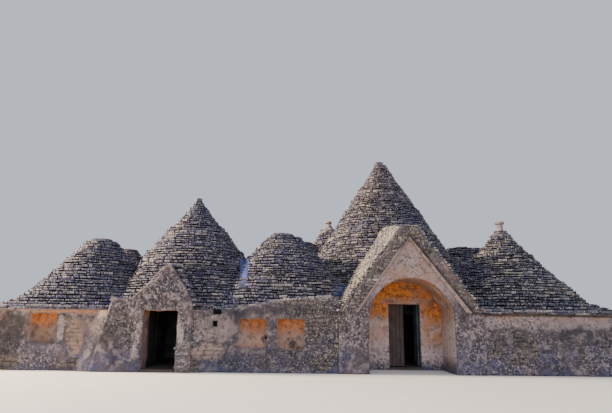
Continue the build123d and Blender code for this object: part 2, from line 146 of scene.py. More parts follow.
def fractal(x: Array, y: Array, size: float, seed: int, octaves: int = 4) -> Array:
    """Sum of value noises, each half the size and half the height of the one before.

    Args:
        x: first coordinate in metres.
        y: second coordinate in metres.
        size: size of the largest bumps in metres.
        seed: picks the pattern.
        octaves: how many noises are summed.

    Returns:
        Heights from about 0 to 1.
    """
    total, weight = 0.0, 0.0
    for octave in range(octaves):
        share = 0.5 ** octave
        total = total + share * value_noise(x, y, size * share, seed + octave)
        weight += share
    return total / weight


def smooth_step(value: Array, low: float, high: float) -> Array:
    """Rises from 0 at low to 1 at high along 3t^2 - 2t^3."""
    t = np.clip((np.asarray(value) - low) / (high - low), 0, 1)
    return t * t * (3 - 2 * t)


def enclosed_volume(mesh: bpy.types.Mesh) -> float:
    """Volume in a closed mesh: a sixth of the sum of each triangle's a . (b x c); negative if inside out.

    Args:
        mesh: the mesh.

    Returns:
        Cubic metres.
    """
    mesh.calc_loop_triangles()
    points = np.empty(len(mesh.vertices) * 3)
    mesh.vertices.foreach_get("co", points)
    corners = np.empty(len(mesh.loop_triangles) * 3, np.int32)
    mesh.loop_triangles.foreach_get("vertices", corners)
    a, b, c = np.moveaxis(points.reshape(-1, 3)[corners].reshape(-1, 3, 3), 1, 0)
    return float((a * np.cross(b, c)).sum() / 6)


def put(name: str, data: bpy.types.ID) -> bpy.types.Object:
    """Adds an object that holds this data to the scene, at the origin."""
    bpy.context.scene.collection.objects.link(thing := bpy.data.objects.new(name, data))
    return thing


def new_piece(name: str, points: Array, faces: Sequence[Sequence[int]], material: Material,
              body: str = HOUSE, smooth: bool = False,
              attributes: dict[str, Array] | None = None) -> bpy.types.Object:
    """Makes a mesh object at the origin that rides on a body.

    Args:
        name: the piece's name.
        points: vertices, n by 3.
        faces: vertex numbers of each face, an array of quads or a list.
        material: its finish.
        body: the body that it moves with.
        smooth: whether its faces are shaded smooth.
        attributes: named numbers, one for each vertex, that the finish reads.

    Returns:
        The new object.
    """
    mesh = bpy.data.meshes.new(name)
    mesh.from_pydata(np.asarray(points, float).reshape(-1, 3).tolist(), [], [list(f) for f in faces])
    if enclosed_volume(mesh) < 0:
        mesh.flip_normals()
    mesh.update()
    for key, values in (attributes or {}).items():
        layer = mesh.attributes.new(key, "FLOAT", "POINT")
        layer.data.foreach_set("value", np.asarray(values, np.float32).ravel())
    if smooth:
        mesh.polygons.foreach_set("use_smooth", np.ones(len(mesh.polygons), bool))
    piece = put(name, mesh)
    piece.data.materials.append(material)
    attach(piece, body)
    log.info("%s: %d faces", name, len(mesh.polygons))
    return piece


def grid_faces(rows: int, columns: int, close_rows: bool = False, start: int = 0) -> Array:
    """Quads of a grid whose points are numbered row by row.

    Args:
        rows: how many rows of points.
        columns: how many points in a row.
        close_rows: whether each row's end joins its start.
        start: number of the first point.

    Returns:
        Quads, n by 4, facing the side from which rows run up and columns run right.
    """
    across = columns if close_rows else columns - 1
    row, column = np.meshgrid(np.arange(rows - 1), np.arange(across), indexing="ij")
    right = (column + 1) % columns
    corners = ((row, column), (row, right), (row + 1, right), (row + 1, column))
    return start + np.stack([(r * columns + c).ravel() for r, c in corners], axis=1)


def closed_sheet(front: Array, back: Array) -> Skin:
    """Shell between a front grid and a back grid of the same shape, joined round the border.

    Args:
        front: points, rows by columns by 3, seen from outside with rows going up.
        back: points of the hidden side.

    Returns:
        All vertices and faces.
    """
    rows, columns = front.shape[:2]
    count = rows * columns
    faces = grid_faces(rows, columns).tolist()
    faces += grid_faces(rows, columns, start=count)[:, ::-1].tolist()
    index = np.arange(count).reshape(rows, columns)
    border = np.concatenate([index[0, :-1], index[:-1, -1], index[-1, :0:-1], index[:0:-1, 0]])
    after = np.roll(border, -1)
    faces += np.stack([border, border + count, after + count, after], axis=1).tolist()
    return np.concatenate([front.reshape(-1, 3), back.reshape(-1, 3)]), faces


# Faces of one stone: back, sides, chamfers and front, from its twelve corners
STONE_FACES = np.array(
    [[3, 2, 1, 0]] + [[i, (i + 1) % 4, 4 + (i + 1) % 4, 4 + i] for i in range(4)]
    + [[4 + i, 4 + (i + 1) % 4, 8 + (i + 1) % 4, 8 + i] for i in range(4)] + [[8, 9, 10, 11]]
)


def stones(
    left: Array, right: Array, out_left: Array, out_right: Array, rise: Array,
    z0: Array, z1: Array, proud: Array, depth: Array, chamfer: float, rng: np.random.Generator,
    weathered: float = 1.0,
) -> Laid:
    """Many chamfered stones at once, each between two feet on a surface.

    Args:
        left: foot of each stone's left side, n by 3.
        right: foot of its right side.
        out_left: outward direction at its left side.
        out_right: outward direction at its right side.
        rise: direction in which the stone's height runs.
        z0: start of the stone along rise, n.
        z1: end of the stone along rise.
        proud: how far its face stands out.
        depth: how far it reaches in.
        chamfer: width of the worn edge round its face.
        rng: source of the small unevenness.
        weathered: how many times wider the upper edge is worn.

    Returns:
        Vertices, twelve for each stone, and quads.
    """
    n = len(z0)
    along = right - left
    along = along / np.maximum(np.linalg.norm(along, axis=1, keepdims=True), 1e-6)
    sides = ((left, out_left, -1), (right, out_right, 1), (right, out_right, 1), (left, out_left, -1))
    heights = (z0, z0, z1, z1)
    tilt = rng.uniform(-0.35, 0.35, n) * chamfer
    layers = []
    for out, inset in ((-depth, 0.0), (proud - chamfer, 0.0), (proud, 1.0)):
        for (foot, outward, side), height in zip(sides, heights):
            up = -inset * chamfer * weathered if height is z1 else inset * chamfer
            wobble = rng.uniform(-0.4, 0.4, (n, 3)) * chamfer
            point = foot + outward * out[:, None] + rise * (height + up + side * tilt)[:, None]
            layers.append(point - along * (inset * side * chamfer) + wobble)
    points = np.stack(layers, axis=1)
    faces = (np.arange(n)[:, None, None] * STONE_CORNERS + STONE_FACES[None]).reshape(-1, 4)
    return points.reshape(-1, 3), faces


def dress(material: Material, *names: str) -> None:
    """Gives the CAD nodes of these names, which stay in sight, a finish."""
    for name in names:
        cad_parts[name].data.materials[0] = material


# Finishes


def linear(code: str) -> tuple[float, float, float, float]:
    """Turns an sRGB hex colour to linear red, green, blue and alpha."""
    parts = [int(code.lstrip("#")[i:i + 2], 16) / 255 for i in (0, 2, 4)]
    return (*[c / 12.92 if c <= 0.04045 else ((c + 0.055) / 1.055) ** 2.4 for c in parts], 1.0)


def add_node(tree: bpy.types.NodeTree, kind: str, inputs: dict | None = None,
             **settings: object) -> bpy.types.Node:
    """Adds a node with its settings, constants and links.

    Args:
        tree: the material's node tree.
        kind: the node's type name.
        inputs: socket name or number to a constant or to another node's output.
        settings: properties of the node.

    Returns:
        The node.
    """
    node = tree.nodes.new(kind)
    for key, value in settings.items():
        setattr(node, key, value)
    for key, value in (inputs or {}).items():
        if isinstance(value, Socket):
            tree.links.new(value, node.inputs[key])
        else:
            node.inputs[key].default_value = value
    return node


@dataclass
class Canvas:
    """A material under construction, with the few steps that every finish here repeats."""

    name: str
    material: Material = field(init=False)
    tree: bpy.types.NodeTree = field(init=False)
    place: Socket = field(init=False)

    def __post_init__(self) -> None:
        """Makes the empty material and its Object coordinates."""
        self.material = bpy.data.materials.new(self.name)
        self.material.use_nodes = True
        self.tree = self.material.node_tree
        self.tree.nodes.clear()
        self.place = add_node(self.tree, "ShaderNodeTexCoord").outputs["Object"]

    def noise(self, size: float, detail: float = 4.0,
              stretch: tuple[float, float, float] = (1, 1, 1)) -> Socket:
        """Noise of bumps of this size in metres, stretched along an axis.

        Args:
            size: size of the bumps in metres.
            detail: how many finer layers it has.
            stretch: scale along each axis.

        Returns:
            The noise's value, about 0.3 to 0.7.
        """
        spot = add_node(self.tree, "ShaderNodeMapping", {"Vector": self.place, "Scale": stretch}).outputs[0]
        inputs = {"Vector": spot, "Scale": 1 / size, "Detail": detail, "Roughness": 0.6}
        return add_node(self.tree, "ShaderNodeTexNoise", inputs).outputs["Fac"]

    def ramp(self, value: Socket, low: float, high: float) -> Socket:
        """Stretches a value so that low gives 0 and high gives 1."""
        inputs = {"Value": value, "From Min": low, "From Max": high}
        return add_node(self.tree, "ShaderNodeMapRange", inputs, clamp=True).outputs[0]

    def times(self, a: Socket, b: Socket | float) -> Socket:
        """Product of two values."""
        return add_node(self.tree, "ShaderNodeMath", {0: a, 1: b}, operation="MULTIPLY").outputs[0]

    def read(self, name: str) -> Socket:
        """Number that the mesh holds at each vertex under this name."""
        return add_node(self.tree, "ShaderNodeAttribute", attribute_name=name).outputs["Fac"]

    def height(self) -> Socket:
        """Height above the ground in metres."""
        return add_node(self.tree, "ShaderNodeSeparateXYZ", {0: self.place}).outputs["Z"]

    def mix(self, share: Socket | float, a: object, b: object) -> Socket:
        """Blend of two colours, hex codes or sockets: the first at share 0 and the second at share 1."""
        a, b = (linear(c) if isinstance(c, str) else c for c in (a, b))
        return add_node(self.tree, "ShaderNodeMix", {0: share, 6: a, 7: b}, data_type="RGBA").outputs[2]

    def finish(self, colour: Socket, bump: Socket, depth: float, roughness: float,
               metallic: float = 0.0, ior: float = 1.5) -> Material:
        """Closes the material with a shader and a fine bump.

        Args:
            colour: base colour.
            bump: height of the fine relief.
            depth: depth of that relief in metres.
            roughness: of the surface.
            metallic: 1 for bare metal.
            ior: index of refraction.

        Returns:
            The finished material.
        """
        relief = add_node(self.tree, "ShaderNodeBump", {"Height": bump, "Distance": depth, "Strength": 1.0})
        shader = add_node(self.tree, "ShaderNodeBsdfPrincipled", {
            "Base Color": colour, "Normal": relief.outputs[0], "Roughness": roughness, "Metallic": metallic,
            "IOR": ior})
        add_node(self.tree, "ShaderNodeOutputMaterial", {"Surface": shader.outputs[0]})
        return self.material


@dataclass(frozen=True)
class SlabStone:
    """Split limestone slabs, quarried flat, never dressed: matt, grey to lavender, spotted with lichen."""

    name: str = "split_limestone"
    dark: str = "#1f1d22"
    middle: str = "#4b4950"
    pale: str = "#a59c90"
    blue: str = "#383e62"
    lichen_white: str = "#cfc5b4"
    lichen_orange: str = "#6b4a2c"
    lichen_black: str = "#141418"

    def build(self) -> Material:
        """Tone of each stone, two sizes of weathering, a blue tint that is painted shade lit by the sky, and
        three lichens.

        Lichen spots are really 10 to 50 mm wide and grit is finer; both are drawn up to 90 mm, to show.

        Returns:
            The material.
        """
        c = Canvas(self.name)
        tone = c.read("tone")
        base = c.mix(c.ramp(tone, 0.0, 0.5), self.dark, self.middle)
        base = c.mix(c.ramp(tone, 0.5, 1.0), base, self.pale)
        base = c.mix(c.times(c.ramp(c.noise(1.1), 0.36, 0.56), 0.5), base, self.blue)
        # Painted shade: the cone's share of slabs turns blue, as if lit by the sky.
        base = c.mix(c.times(c.read("cool"), 0.6), base, self.blue)
        white = c.ramp(c.noise(0.05, 3.0), 0.54, 0.62)
        base = c.mix(c.times(white, 0.5), base, self.lichen_white)
        black = c.ramp(c.noise(0.09, 5.0), 0.55, 0.64)
        base = c.mix(c.times(black, 0.75), base, self.lichen_black)
        orange = c.times(c.ramp(c.noise(0.09, 4.0), 0.42, 0.6), c.read("lichen"))
        base = c.mix(c.times(orange, 0.7), base, self.lichen_orange)
        return c.finish(base, c.noise(0.03, 6.0), 0.008, 0.92)


@dataclass(frozen=True)
class LimePlaster:
    """Old lime plaster, trowelled by hand: matt, worn through to stone, stained grey and ochre, painted blue
    at its foot as shade lit by the sky.
    """

    name: str = "lime_plaster"
    base: str = "#5b5054"
    pale: str = "#aa9c97"
    light: str = "#b09e9a"
    bounce_light: str = "#e0d0c8"
    grey: str = "#37343f"
    blue: str = "#474c6c"
    peach: str = "#94735f"
    ochre: str = "#a95f28"
    rust: str = "#6e3f1e"
    stone: str = "#6e655f"
    joint: str = "#1b181b"
    soot: str = "#1e1b20"
    shade: str = "#0d0f0f"

    def build(self) -> Material:
        """Clouds of wear, a bluish foot that is painted sky-lit shade, painted bounce light where the mesh's
        light passes 1, ochre where the mesh says so, stone where the plaster is gone, and near-black where
        the mesh's
        shade says so: painted shade, and in places dark joints and mottling.

        The trowel's marks, 10 to 20 mm wide, are drawn at 45 mm and the specks at 60 mm and more to show.

        Returns:
            The material.
        """
        c = Canvas(self.name)
        colour = c.mix(c.ramp(c.noise(0.7, 5.0), 0.42, 0.6), self.base, self.grey)
        colour = c.mix(c.times(c.ramp(c.noise(0.26, 7.0), 0.5, 0.6), 0.45), colour, self.pale)
        # Painted shade: the foot of each wall turns blue, as if lit by the sky.
        foot = c.times(c.ramp(c.height(), 1.2, 0.1), c.ramp(c.noise(0.6), 0.38, 0.6))
        colour = c.mix(c.times(foot, 0.7), colour, self.blue)
        bare = c.mix(c.read("tone"), self.joint, self.stone)
        colour = c.mix(c.read("bare"), colour, bare)
        colour = c.mix(c.read("light"), colour, self.light)
        # Painted bounce light: where the mesh's light passes 1 the plaster turns paler still.
        colour = c.mix(c.ramp(c.read("light"), 1.0, 2.0), colour, self.bounce_light)
        ochre = c.read("ochre")
        broad = c.ramp(c.noise(0.5, 5.0), 0.3, 0.5)
        colour = c.mix(c.times(c.ramp(ochre, 0.0, 0.4), broad), colour, self.peach)
        colour = c.mix(c.times(c.ramp(ochre, 0.35, 1.0), broad), colour, self.ochre)
        stain = c.times(c.ramp(c.noise(0.17, 6.0), 0.48, 0.6), c.ramp(ochre, 0.45, 0.95))
        colour = c.mix(c.times(stain, 0.75), colour, self.rust)
        rough = c.times(c.ramp(ochre, 0.9, 0.0), c.ramp(c.noise(1.6, 2.0), 0.36, 0.6))
        rough = c.times(rough, c.ramp(c.read("light"), 1.9, 0.9))
        pale_specks = c.times(c.ramp(c.noise(0.06, 5.0), 0.53, 0.6), rough)
        colour = c.mix(c.times(pale_specks, 0.75), colour, self.pale)
        large_specks = c.ramp(c.noise(0.16, 7.0), 0.53, 0.6)
        colour = c.mix(c.times(large_specks, 0.4), colour, self.soot)
        specks = c.ramp(c.noise(0.075, 6.0), 0.53, 0.58)
        colour = c.mix(c.times(c.times(specks, rough), 0.8), colour, self.soot)
        colour = c.mix(c.read("shade"), colour, self.shade)
        return c.finish(colour, c.noise(0.045, 7.0), 0.02, 0.94)


@dataclass(frozen=True)
class PlainStone:
    """Any one-coloured stone, lime or earth surface: matt, with soft clouds and fine grit."""

    name: str
    low: str
    high: str
    cloud: float = 0.4
    grit: float = 0.02
    depth: float = 0.004
    roughness: float = 0.9
    limed: str = ""
    ior: float = 1.5

    def build(self) -> Material:
        """Two colours in clouds, a fine relief, and a third colour in the share that the mesh's tone gives.

        Returns:
            The material.
        """
        c = Canvas(self.name)
        share = c.ramp(c.noise(self.cloud, 6.0), 0.36, 0.64)
        colour = c.mix(share, self.low, self.high)
        if self.limed:
            colour = c.mix(c.read("tone"), colour, self.limed)
        return c.finish(colour, c.noise(self.grit, 6.0), self.depth, self.roughness, ior=self.ior)


@dataclass(frozen=True)
class OldWood:
    """Softwood boards, sawn and left unpainted: grey-brown with the grain standing up and down."""

    name: str = "weathered_softwood"
    dark: str = "#211814"
    light: str = "#4b3830"
    grey: str = "#51484a"

    def build(self) -> Material:
        """Grain 12 mm wide, twice the real wood's so that it shows, drawn 300 mm long and greyed in patches.

        Returns:
            The material.
        """
        c = Canvas(self.name)
        grain = c.noise(0.012, 5.0, (1, 1, 0.04))
        colour = c.mix(c.ramp(grain, 0.36, 0.64), self.dark, self.light)
        colour = c.mix(c.times(c.ramp(c.noise(0.3), 0.42, 0.62), 0.5), colour, self.grey)
        return c.finish(colour, grain, 0.003, 0.8)


@dataclass(frozen=True)
class RustedIron:
    """Hand-forged iron gone to rust: brown and flaky, no longer shining as metal."""

    name: str = "rusted_iron"
    dark: str = "#2b201c"
    rust: str = "#6f3f27"

    def build(self) -> Material:
        """Rust clouds of 20 mm over dark iron, with flakes of 4 mm.

        Returns:
            The material.
        """
        c = Canvas(self.name)
        share = c.ramp(c.noise(0.02, 6.0), 0.4, 0.6)
        return c.finish(c.mix(share, self.dark, self.rust), c.noise(0.004, 4.0), 0.001, 0.75, metallic=0.35)


def made(kind: type, *values: str, **named: object) -> Material:
    """Field that holds a finish of this kind, built along with the class that it belongs to."""
    return field(default_factory=kind(*values, **named).build)


@dataclass
class Finishes:
    """Every finish of the house, built once."""

    slabs: Material = made(SlabStone)
    plaster: Material = made(LimePlaster)
    ochre_plaster: Material = made(LimePlaster, "ochre_lime_plaster", peach="#a87b5a", ochre="#d9843a",
                                  rust="#8f5223")
    coping: Material = made(SlabStone, "coping_limestone", middle="#544d4c", blue="#433e42")
    bed: Material = made(PlainStone, "shaded_bed_stone", "#1f1d20", "#343136", roughness=0.97)
    # Painted shadow: near-black, for the shade inside the parapet's notch.
    hollow: Material = made(PlainStone, "sooted_hollow", "#0b0c0d", "#151616", roughness=1.0, ior=1.05)
    # Its third colour, dark blue, is painted shade towards the foot of the valley's strip.
    whitewash: Material = made(PlainStone, "limewash", "#2b3876", "#56649f", cloud=0.2, limed="#1a2044")
    blue_wash: Material = made(PlainStone, "blue_limewash", "#15214b", "#2e4374", cloud=0.12)
    moulding: Material = made(PlainStone, "cut_limestone", "#221c1b", "#544639", cloud=0.25, limed="#84726c")
    floor: Material = made(PlainStone, "worn_floor_stone", "#2f2a27", "#4b433c", cloud=0.5, roughness=0.8)
    inside: Material = made(PlainStone, "sooted_limewash_inside", "#4c4a4a", "#7d7a78", cloud=0.6)
    pinnacle: Material = made(PlainStone, "weathered_limewash", "#433c42", "#ab9f99", cloud=0.09)
    wood: Material = made(OldWood)
    green_wood: Material = made(OldWood, "flaking_green_paint", "#172023", "#38494d", "#56656a")
    iron: Material = made(RustedIron)
    stage: Material = made(PlainStone, "pale_studio_floor", "#d8d5d0", "#dedbd6", cloud=6.0, depth=0.0005)


# Roof cones


@dataclass
class Cone:
    """One roof cone: a rounded square eave that blends into a near-round, broken cone of dry stone.

    Its axis is at x and depth behind the front; half_x and half_y are its eave's half sizes; tiers are the
    heights and radii above it; pitch and width are a slab's; the top falls by fall a metre along X and has
    lost its last courses; cool is its share of slabs tinted blue as painted shade lit by the sky; lit is
    the place, X and Z, of a painted highlight where it is palest; spill is how far over its top the rubble
    lies; worn is how far its upper slabs have weathered back.
    """

    name: str
    x: float
    depth: float
    half_x: float
    half_y: float
    tiers: tuple[tuple[float, float], ...]
    pitch: float = 0.098
    width: float = 0.2
    rubble_top: bool = False
    fall: float = 0.0
    lost: float = 0.0
    cool: float = 0.45
    lit: tuple[float, float] = (0.0, -9.0)
    spill: float = 0.85
    lichen: float = 0.0
    worn: float = 0.0
    levels: Array = field(init=False, repr=False)
    sizes: Array = field(init=False, repr=False)

    def __post_init__(self) -> None:
        """Works out the section's levels.

        Each band ends half a step outside the cone's line, and the next starts half a step inside it.
        """
        eave = PLATE_Z + EAVE_LIP
        heights = np.array([eave, *(z for z, _ in self.tiers)])
        radii = [r for _, r in self.tiers]
        low = min(self.half_x, self.half_y) * EAVE_ROUNDING
        sizes = np.array([[self.half_x, *radii], [self.half_y, *radii],
                          [low, *(TIER_ROUNDING * r for r in radii)]])
        count = round((self.top - eave) / BAND_HEIGHT)
        height = (self.top - eave) / count
        levels, rows = [PLATE_Z], [sizes[:, 0]]
        for band in range(count):
            start, end = eave + band * height, eave + (band + 1) * height
            between = [z for z in heights if start + TIER_CLEAR < z < end - TIER_CLEAR]
            for z in (start, *between, end):
                out = BAND_STEP * ((z - start) / height - 0.5) if z > eave else 0.0
                levels.append(z)
                rows.append(np.array([np.interp(z, heights, size) for size in sizes]) + out)
        self.levels, self.sizes = np.array(levels), np.array(rows).T

    def section(self, z: Array) -> tuple[Array, Array, Array]:
        """Half width, half depth and corner radius of the level section at height z."""
        return tuple(np.interp(z, self.levels, size) for size in self.sizes)

    def outline(self, z: Array, share: Array) -> tuple[Array, Array]:
        """Points on the cone and their level outward directions.

        Each quarter of the section is a straight run, an arc of the corner's radius and a straight run,
        walked counter-clockwise at even speed.

        Args:
            z: heights.
            share: how far round, from 0 at +X to 1.

        Returns:
            Points and unit normals, each n by 3.
        """
        half_x, half_y, corner = self.section(z)
        quarter = np.floor(share * 4).astype(int) % 4
        odd = quarter % 2 == 1
        a, b = np.where(odd, half_y, half_x), np.where(odd, half_x, half_y)
        first, arc, last = b - corner, corner * math.pi / 2, a - corner
        run = (share * 4 % 1) * (first + arc + last)
        angle = np.clip((run - first) / np.maximum(corner, 1e-6), 0, math.pi / 2)
        local_x = a - corner + corner * np.cos(angle) - np.maximum(run - first - arc, 0)
        local_y = np.minimum(run, first) + corner * np.sin(angle)
        turn = quarter * math.pi / 2
        cos, sin = np.round(np.cos(turn)), np.round(np.sin(turn))
        x = self.x + local_x * cos - local_y * sin
        y = FRONT_Y + self.depth + local_x * sin + local_y * cos
        normal = np.stack([np.cos(angle + turn), np.sin(angle + turn), np.zeros_like(x)], axis=1)
        return np.stack([x, y, z + 0 * x], axis=1), normal

    def girth(self, z: float) -> float:
        """Length round the section at height z."""
        half_x, half_y, corner = self.section(z)
        return float(4 * (half_x + half_y - 2 * corner + corner * math.pi / 2))

    def distance(self, points: Array) -> Array:
        """Level distance from the cone's section at each point's height; negative inside, large above it.

        Args:
            points: n by 3.

        Returns:
            Distances in metres.
        """
        half_x, half_y, corner = self.section(points[:, 2])
        dx = np.abs(points[:, 0] - self.x) - half_x + corner
        dy = np.abs(points[:, 1] - FRONT_Y - self.depth) - half_y + corner
        outside = np.hypot(np.maximum(dx, 0), np.maximum(dy, 0)) + np.minimum(np.maximum(dx, dy), 0) - corner
        return np.where(points[:, 2] > self.tiers[-1][0] + 0.02, 9.0, outside)

    def front(self, x: Array, z: Array) -> Array:
        """Y of the cone's front at these places, with the widest part carried on beyond its sides.

        Args:
            x: places along the front.
            z: heights.

        Returns:
            Y of each place.
        """
        half_x, half_y, corner = self.section(z)
        beside = np.clip(np.abs(x - self.x) - half_x + corner, 0, corner)
        return FRONT_Y + self.depth - half_y + corner - np.sqrt(corner ** 2 - beside ** 2)

    def wear(self, z: Array) -> Array:
        """How far the stones at height z have weathered back: nothing at the eave, most at the top."""
        low = 0.8 * smooth_step(z, PLATE_Z + 0.1, PLATE_Z + 0.7)
        return self.worn * (low + 0.2 * smooth_step(z, self.top - 1.6, self.top - 0.2))

    @property
    def top(self) -> float:
        """Height of the cone's broken top."""
        return self.tiers[-1][0]


CONES = (
    Cone("main", 3.3, 5.65, 4.26, 4.26, ((4.15, 2.9), (5.75, 1.935), (7.2, 1.01), (8.38, 0.29)), lichen=0.3,
         worn=0.09, cool=0.15),
    Cone("right", 7.45, 3.0, 3.0, 3.06, ((2.2, 2.76), (2.8, 2.2), (3.64, 1.35), (5.0, 0.21)), worn=0.07,
         cool=0.0, lit=(6.95, 2.8)),
    Cone("portal", -4.18, 3.2, 3.0, 3.0,
         ((2.36, 2.88), (2.95, 2.44), (4.0, 1.84), (5.95, 0.25), (6.1, 0.15)), worn=0.1),
    Cone("middle", -0.81, 2.9, 2.55, 2.55, ((3.05, 2.0), (3.9, 1.27), (4.44, 0.77), (4.8, 0.33)),
         fall=0.18),
    Cone("left", -7.65, 2.75, 2.75, 2.81, ((2.23, 2.5), (2.85, 1.9), (3.68, 1.2), (4.53, 0.46)),
         rubble_top=True, lost=0.12, cool=0.7, spill=0.5, worn=0.11),
    Cone("rear_spire", 1.1, 8.5, 2.45, 2.45, ((3.4, 1.65), (5.3, 0.64), (6.0, 0.27))),
    Cone("rear_right", 7.8, 8.3, 2.9, 2.86, ((3.5, 2.05), (5.08, 0.95)), rubble_top=True, fall=0.1),
    Cone("rear_left", -8.6, 8.3, 2.54, 2.86, ((3.3, 1.7), (4.9, 0.48)), rubble_top=True, fall=0.24,
         spill=1.0),
    Cone("rear_middle", -0.41, 8.3, 2.5, 2.86, ((3.7, 1.65), (5.25, 0.72)), rubble_top=True),
    Cone("rear_low", -4.6, 8.3, 2.7, 2.86, ((3.2, 1.6), (4.25, 0.52)), rubble_top=True),
)
CONE = {cone.name: cone for cone in CONES}

PARAPET = ((-3.47, 1.865), (-2.2, 1.9), (-1.41, 2.06), (-0.16, 2.23), (1.08, 2.31))
PARAPET_THICK = 0.4
PORTAL_INNER = ((-4.98, 0.0), (-4.98, 1.2), (-4.98, 1.78), (-4.98, 1.85), (-4.88, 1.85), (-4.56, 1.85),
                (-4.42, 1.85), (-3.93, 1.85), (-3.93, 1.7), (-3.93, 0.0))
PORTAL_OUTER = ((-6.5, 0.0), (-6.202, 1.2), (-6.04, 1.85), (-5.96, 2.13), (-5.37, 2.16), (-4.25, 3.2),
                (-4.04, 3.2), (-3.47, 2.01), (-3.47, 1.85), (-3.47, 0.0))
PORTAL_BACK_Y = FRONT_Y + 1.2


def in_porch(points: Array, margin: float = 0.0) -> Array:
    """Whether points lie under the porch's roof, which rises back along its ridge.

    Args:
        points: n by 3.
        margin: how far outside still counts.

    Returns:
        True where they do.
    """
    x, y, z = points.T
    across = np.maximum(np.abs(x - PORCH_X), RIDGE_HALF)
    roof = PLATE_Z + RAKE_SLOPE * (PORCH_HALF - across) + math.tan(RIDGE_ANGLE) * (y - COPING_Y)
    between = (y > COPING_Y - margin) & (y < FRONT_Y + PORCH_ROOF_DEPTH + margin)
    return between & (z < roof + margin) & (z > 0)


def under_line(points: Array, line: Sequence[tuple[float, float]], front: float, back: float,
               margin: float = 0.0) -> Array:
    """Whether points lie under a line in X and Z and between two depths, each widened by the margin.

    Args:
        points: n by 3.
        line: the line's corners, from left to right.
        front: the nearer depth.
        back: the further depth.
        margin: how far outside still counts.

    Returns:
        True where they do.
    """
    x, y, z = points.T
    corners = np.array(line)
    roof = np.interp(x, corners[:, 0], corners[:, 1], left=0, right=0)
    return (y > front - margin) & (y < back + margin) & (z < roof + margin)


def in_portal(points: Array, margin: float = 0.0) -> Array:
    """Whether points lie within the left portal's gable."""
    return under_line(points, PORTAL_OUTER[2:8], PORTAL_Y, PORTAL_BACK_Y, margin)


def in_parapet(points: Array, margin: float = 0.0) -> Array:
    """Whether points lie within the middle wall's parapet."""
    return under_line(points, PARAPET, FRONT_Y, FRONT_Y + PARAPET_THICK, margin)


def covered(points: Array, but: str = "", margin: float = 0.0) -> Array:
    """Whether points are hidden inside a cone, the porch, the portal or the parapet.

    Args:
        points: n by 3.
        but: cone that doesn't count.
        margin: how far outside still counts.

    Returns:
        True where hidden.
    """
    hidden = in_porch(points, margin) | in_portal(points, margin) | in_parapet(points, margin)
    for cone in CONES:
        if cone.name != but:
            hidden |= cone.distance(points) < margin
    return hidden


def tumbled(
    centres: Array, sizes: Array, turn: Array, rng: np.random.Generator, lean: float = 0.12,
    chamfer: float = 0.02,
) -> Laid:
    """Loose stones lying where they fell.

    Args:
        centres: middle of each stone, n by 3.
        sizes: length, width and height, n by 3.
        turn: angle of each about the vertical.
        rng: source of the lean.
        lean: largest slope of a stone.
        chamfer: worn edge.

    Returns:
        Vertices and quads.
    """
    n = len(centres)
    along = np.stack([np.cos(turn), np.sin(turn), rng.uniform(-lean, lean, n)], axis=1)
    outward = np.stack([np.sin(turn), -np.cos(turn), rng.uniform(-lean, lean, n)], axis=1)
    half = along * sizes[:, :1] / 2
    rise = np.cross(outward, along)
    rise = rise / np.linalg.norm(rise, axis=1, keepdims=True)
    rise = rise * np.sign(rise[:, 2:3])
    high = sizes[:, 2] / 2
    return stones(centres - half, centres + half, outward, outward, rise, -high, high,
                  sizes[:, 1] / 2, sizes[:, 1] / 2, chamfer, rng)


def mixed(rng: np.random.Generator, count: int, *ranges: tuple[float, float]) -> Array:
    """Random sizes of this many stones, a column for each range, drawn one range after another."""
    return np.stack([rng.uniform(low, high, count) for low, high in ranges], axis=1)


def split_ring(rng: np.random.Generator, count: int, low: float, high: float) -> Array:
    """Joints of a ring of stones, as shares of its girth from a random start; low and high bound a width."""
    widths = rng.uniform(low, high, count)
    return np.concatenate([[0], np.cumsum(widths / widths.sum())]) + rng.random()


@dataclass
class StonePile:
    """Stones gathered in groups and joined to one piece, with the tone and the lichen of each."""

    groups: list[tuple[Array, ...]] = field(default_factory=list)

    def add(self, laid: Laid, tone: Array, lichen: Array | float = 0.0) -> None:
        """Adds a group of stones.

        Args:
            laid: their vertices and quads.
            tone: from 0, darkest, to 1, palest, for each stone.
            lichen: share of orange lichen, for each stone or for all.
        """
        points, faces = laid
        faces = faces + sum(len(group[0]) for group in self.groups)
        each = (np.repeat(value + 0 * tone, STONE_CORNERS) for value in (tone, lichen))
        self.groups.append((points, faces, *each))

    def build(self, name: str, material: Material, cool: float | None = None) -> bpy.types.Object:
        """Joins the groups.

        Args:
            name: the piece's name.
            material: its finish.
            cool: share of stones tinted blue as painted shade lit by the sky, if the finish is to read one.

        Returns:
            The piece.
        """
        points, faces, tone, lichen = (np.concatenate(parts) for parts in zip(*self.groups))
        attributes = {"tone": tone, "lichen": lichen}
        if cool is not None:
            attributes["cool"] = np.full(len(tone), cool)
        return new_piece(name, points, faces, material, attributes=attributes)


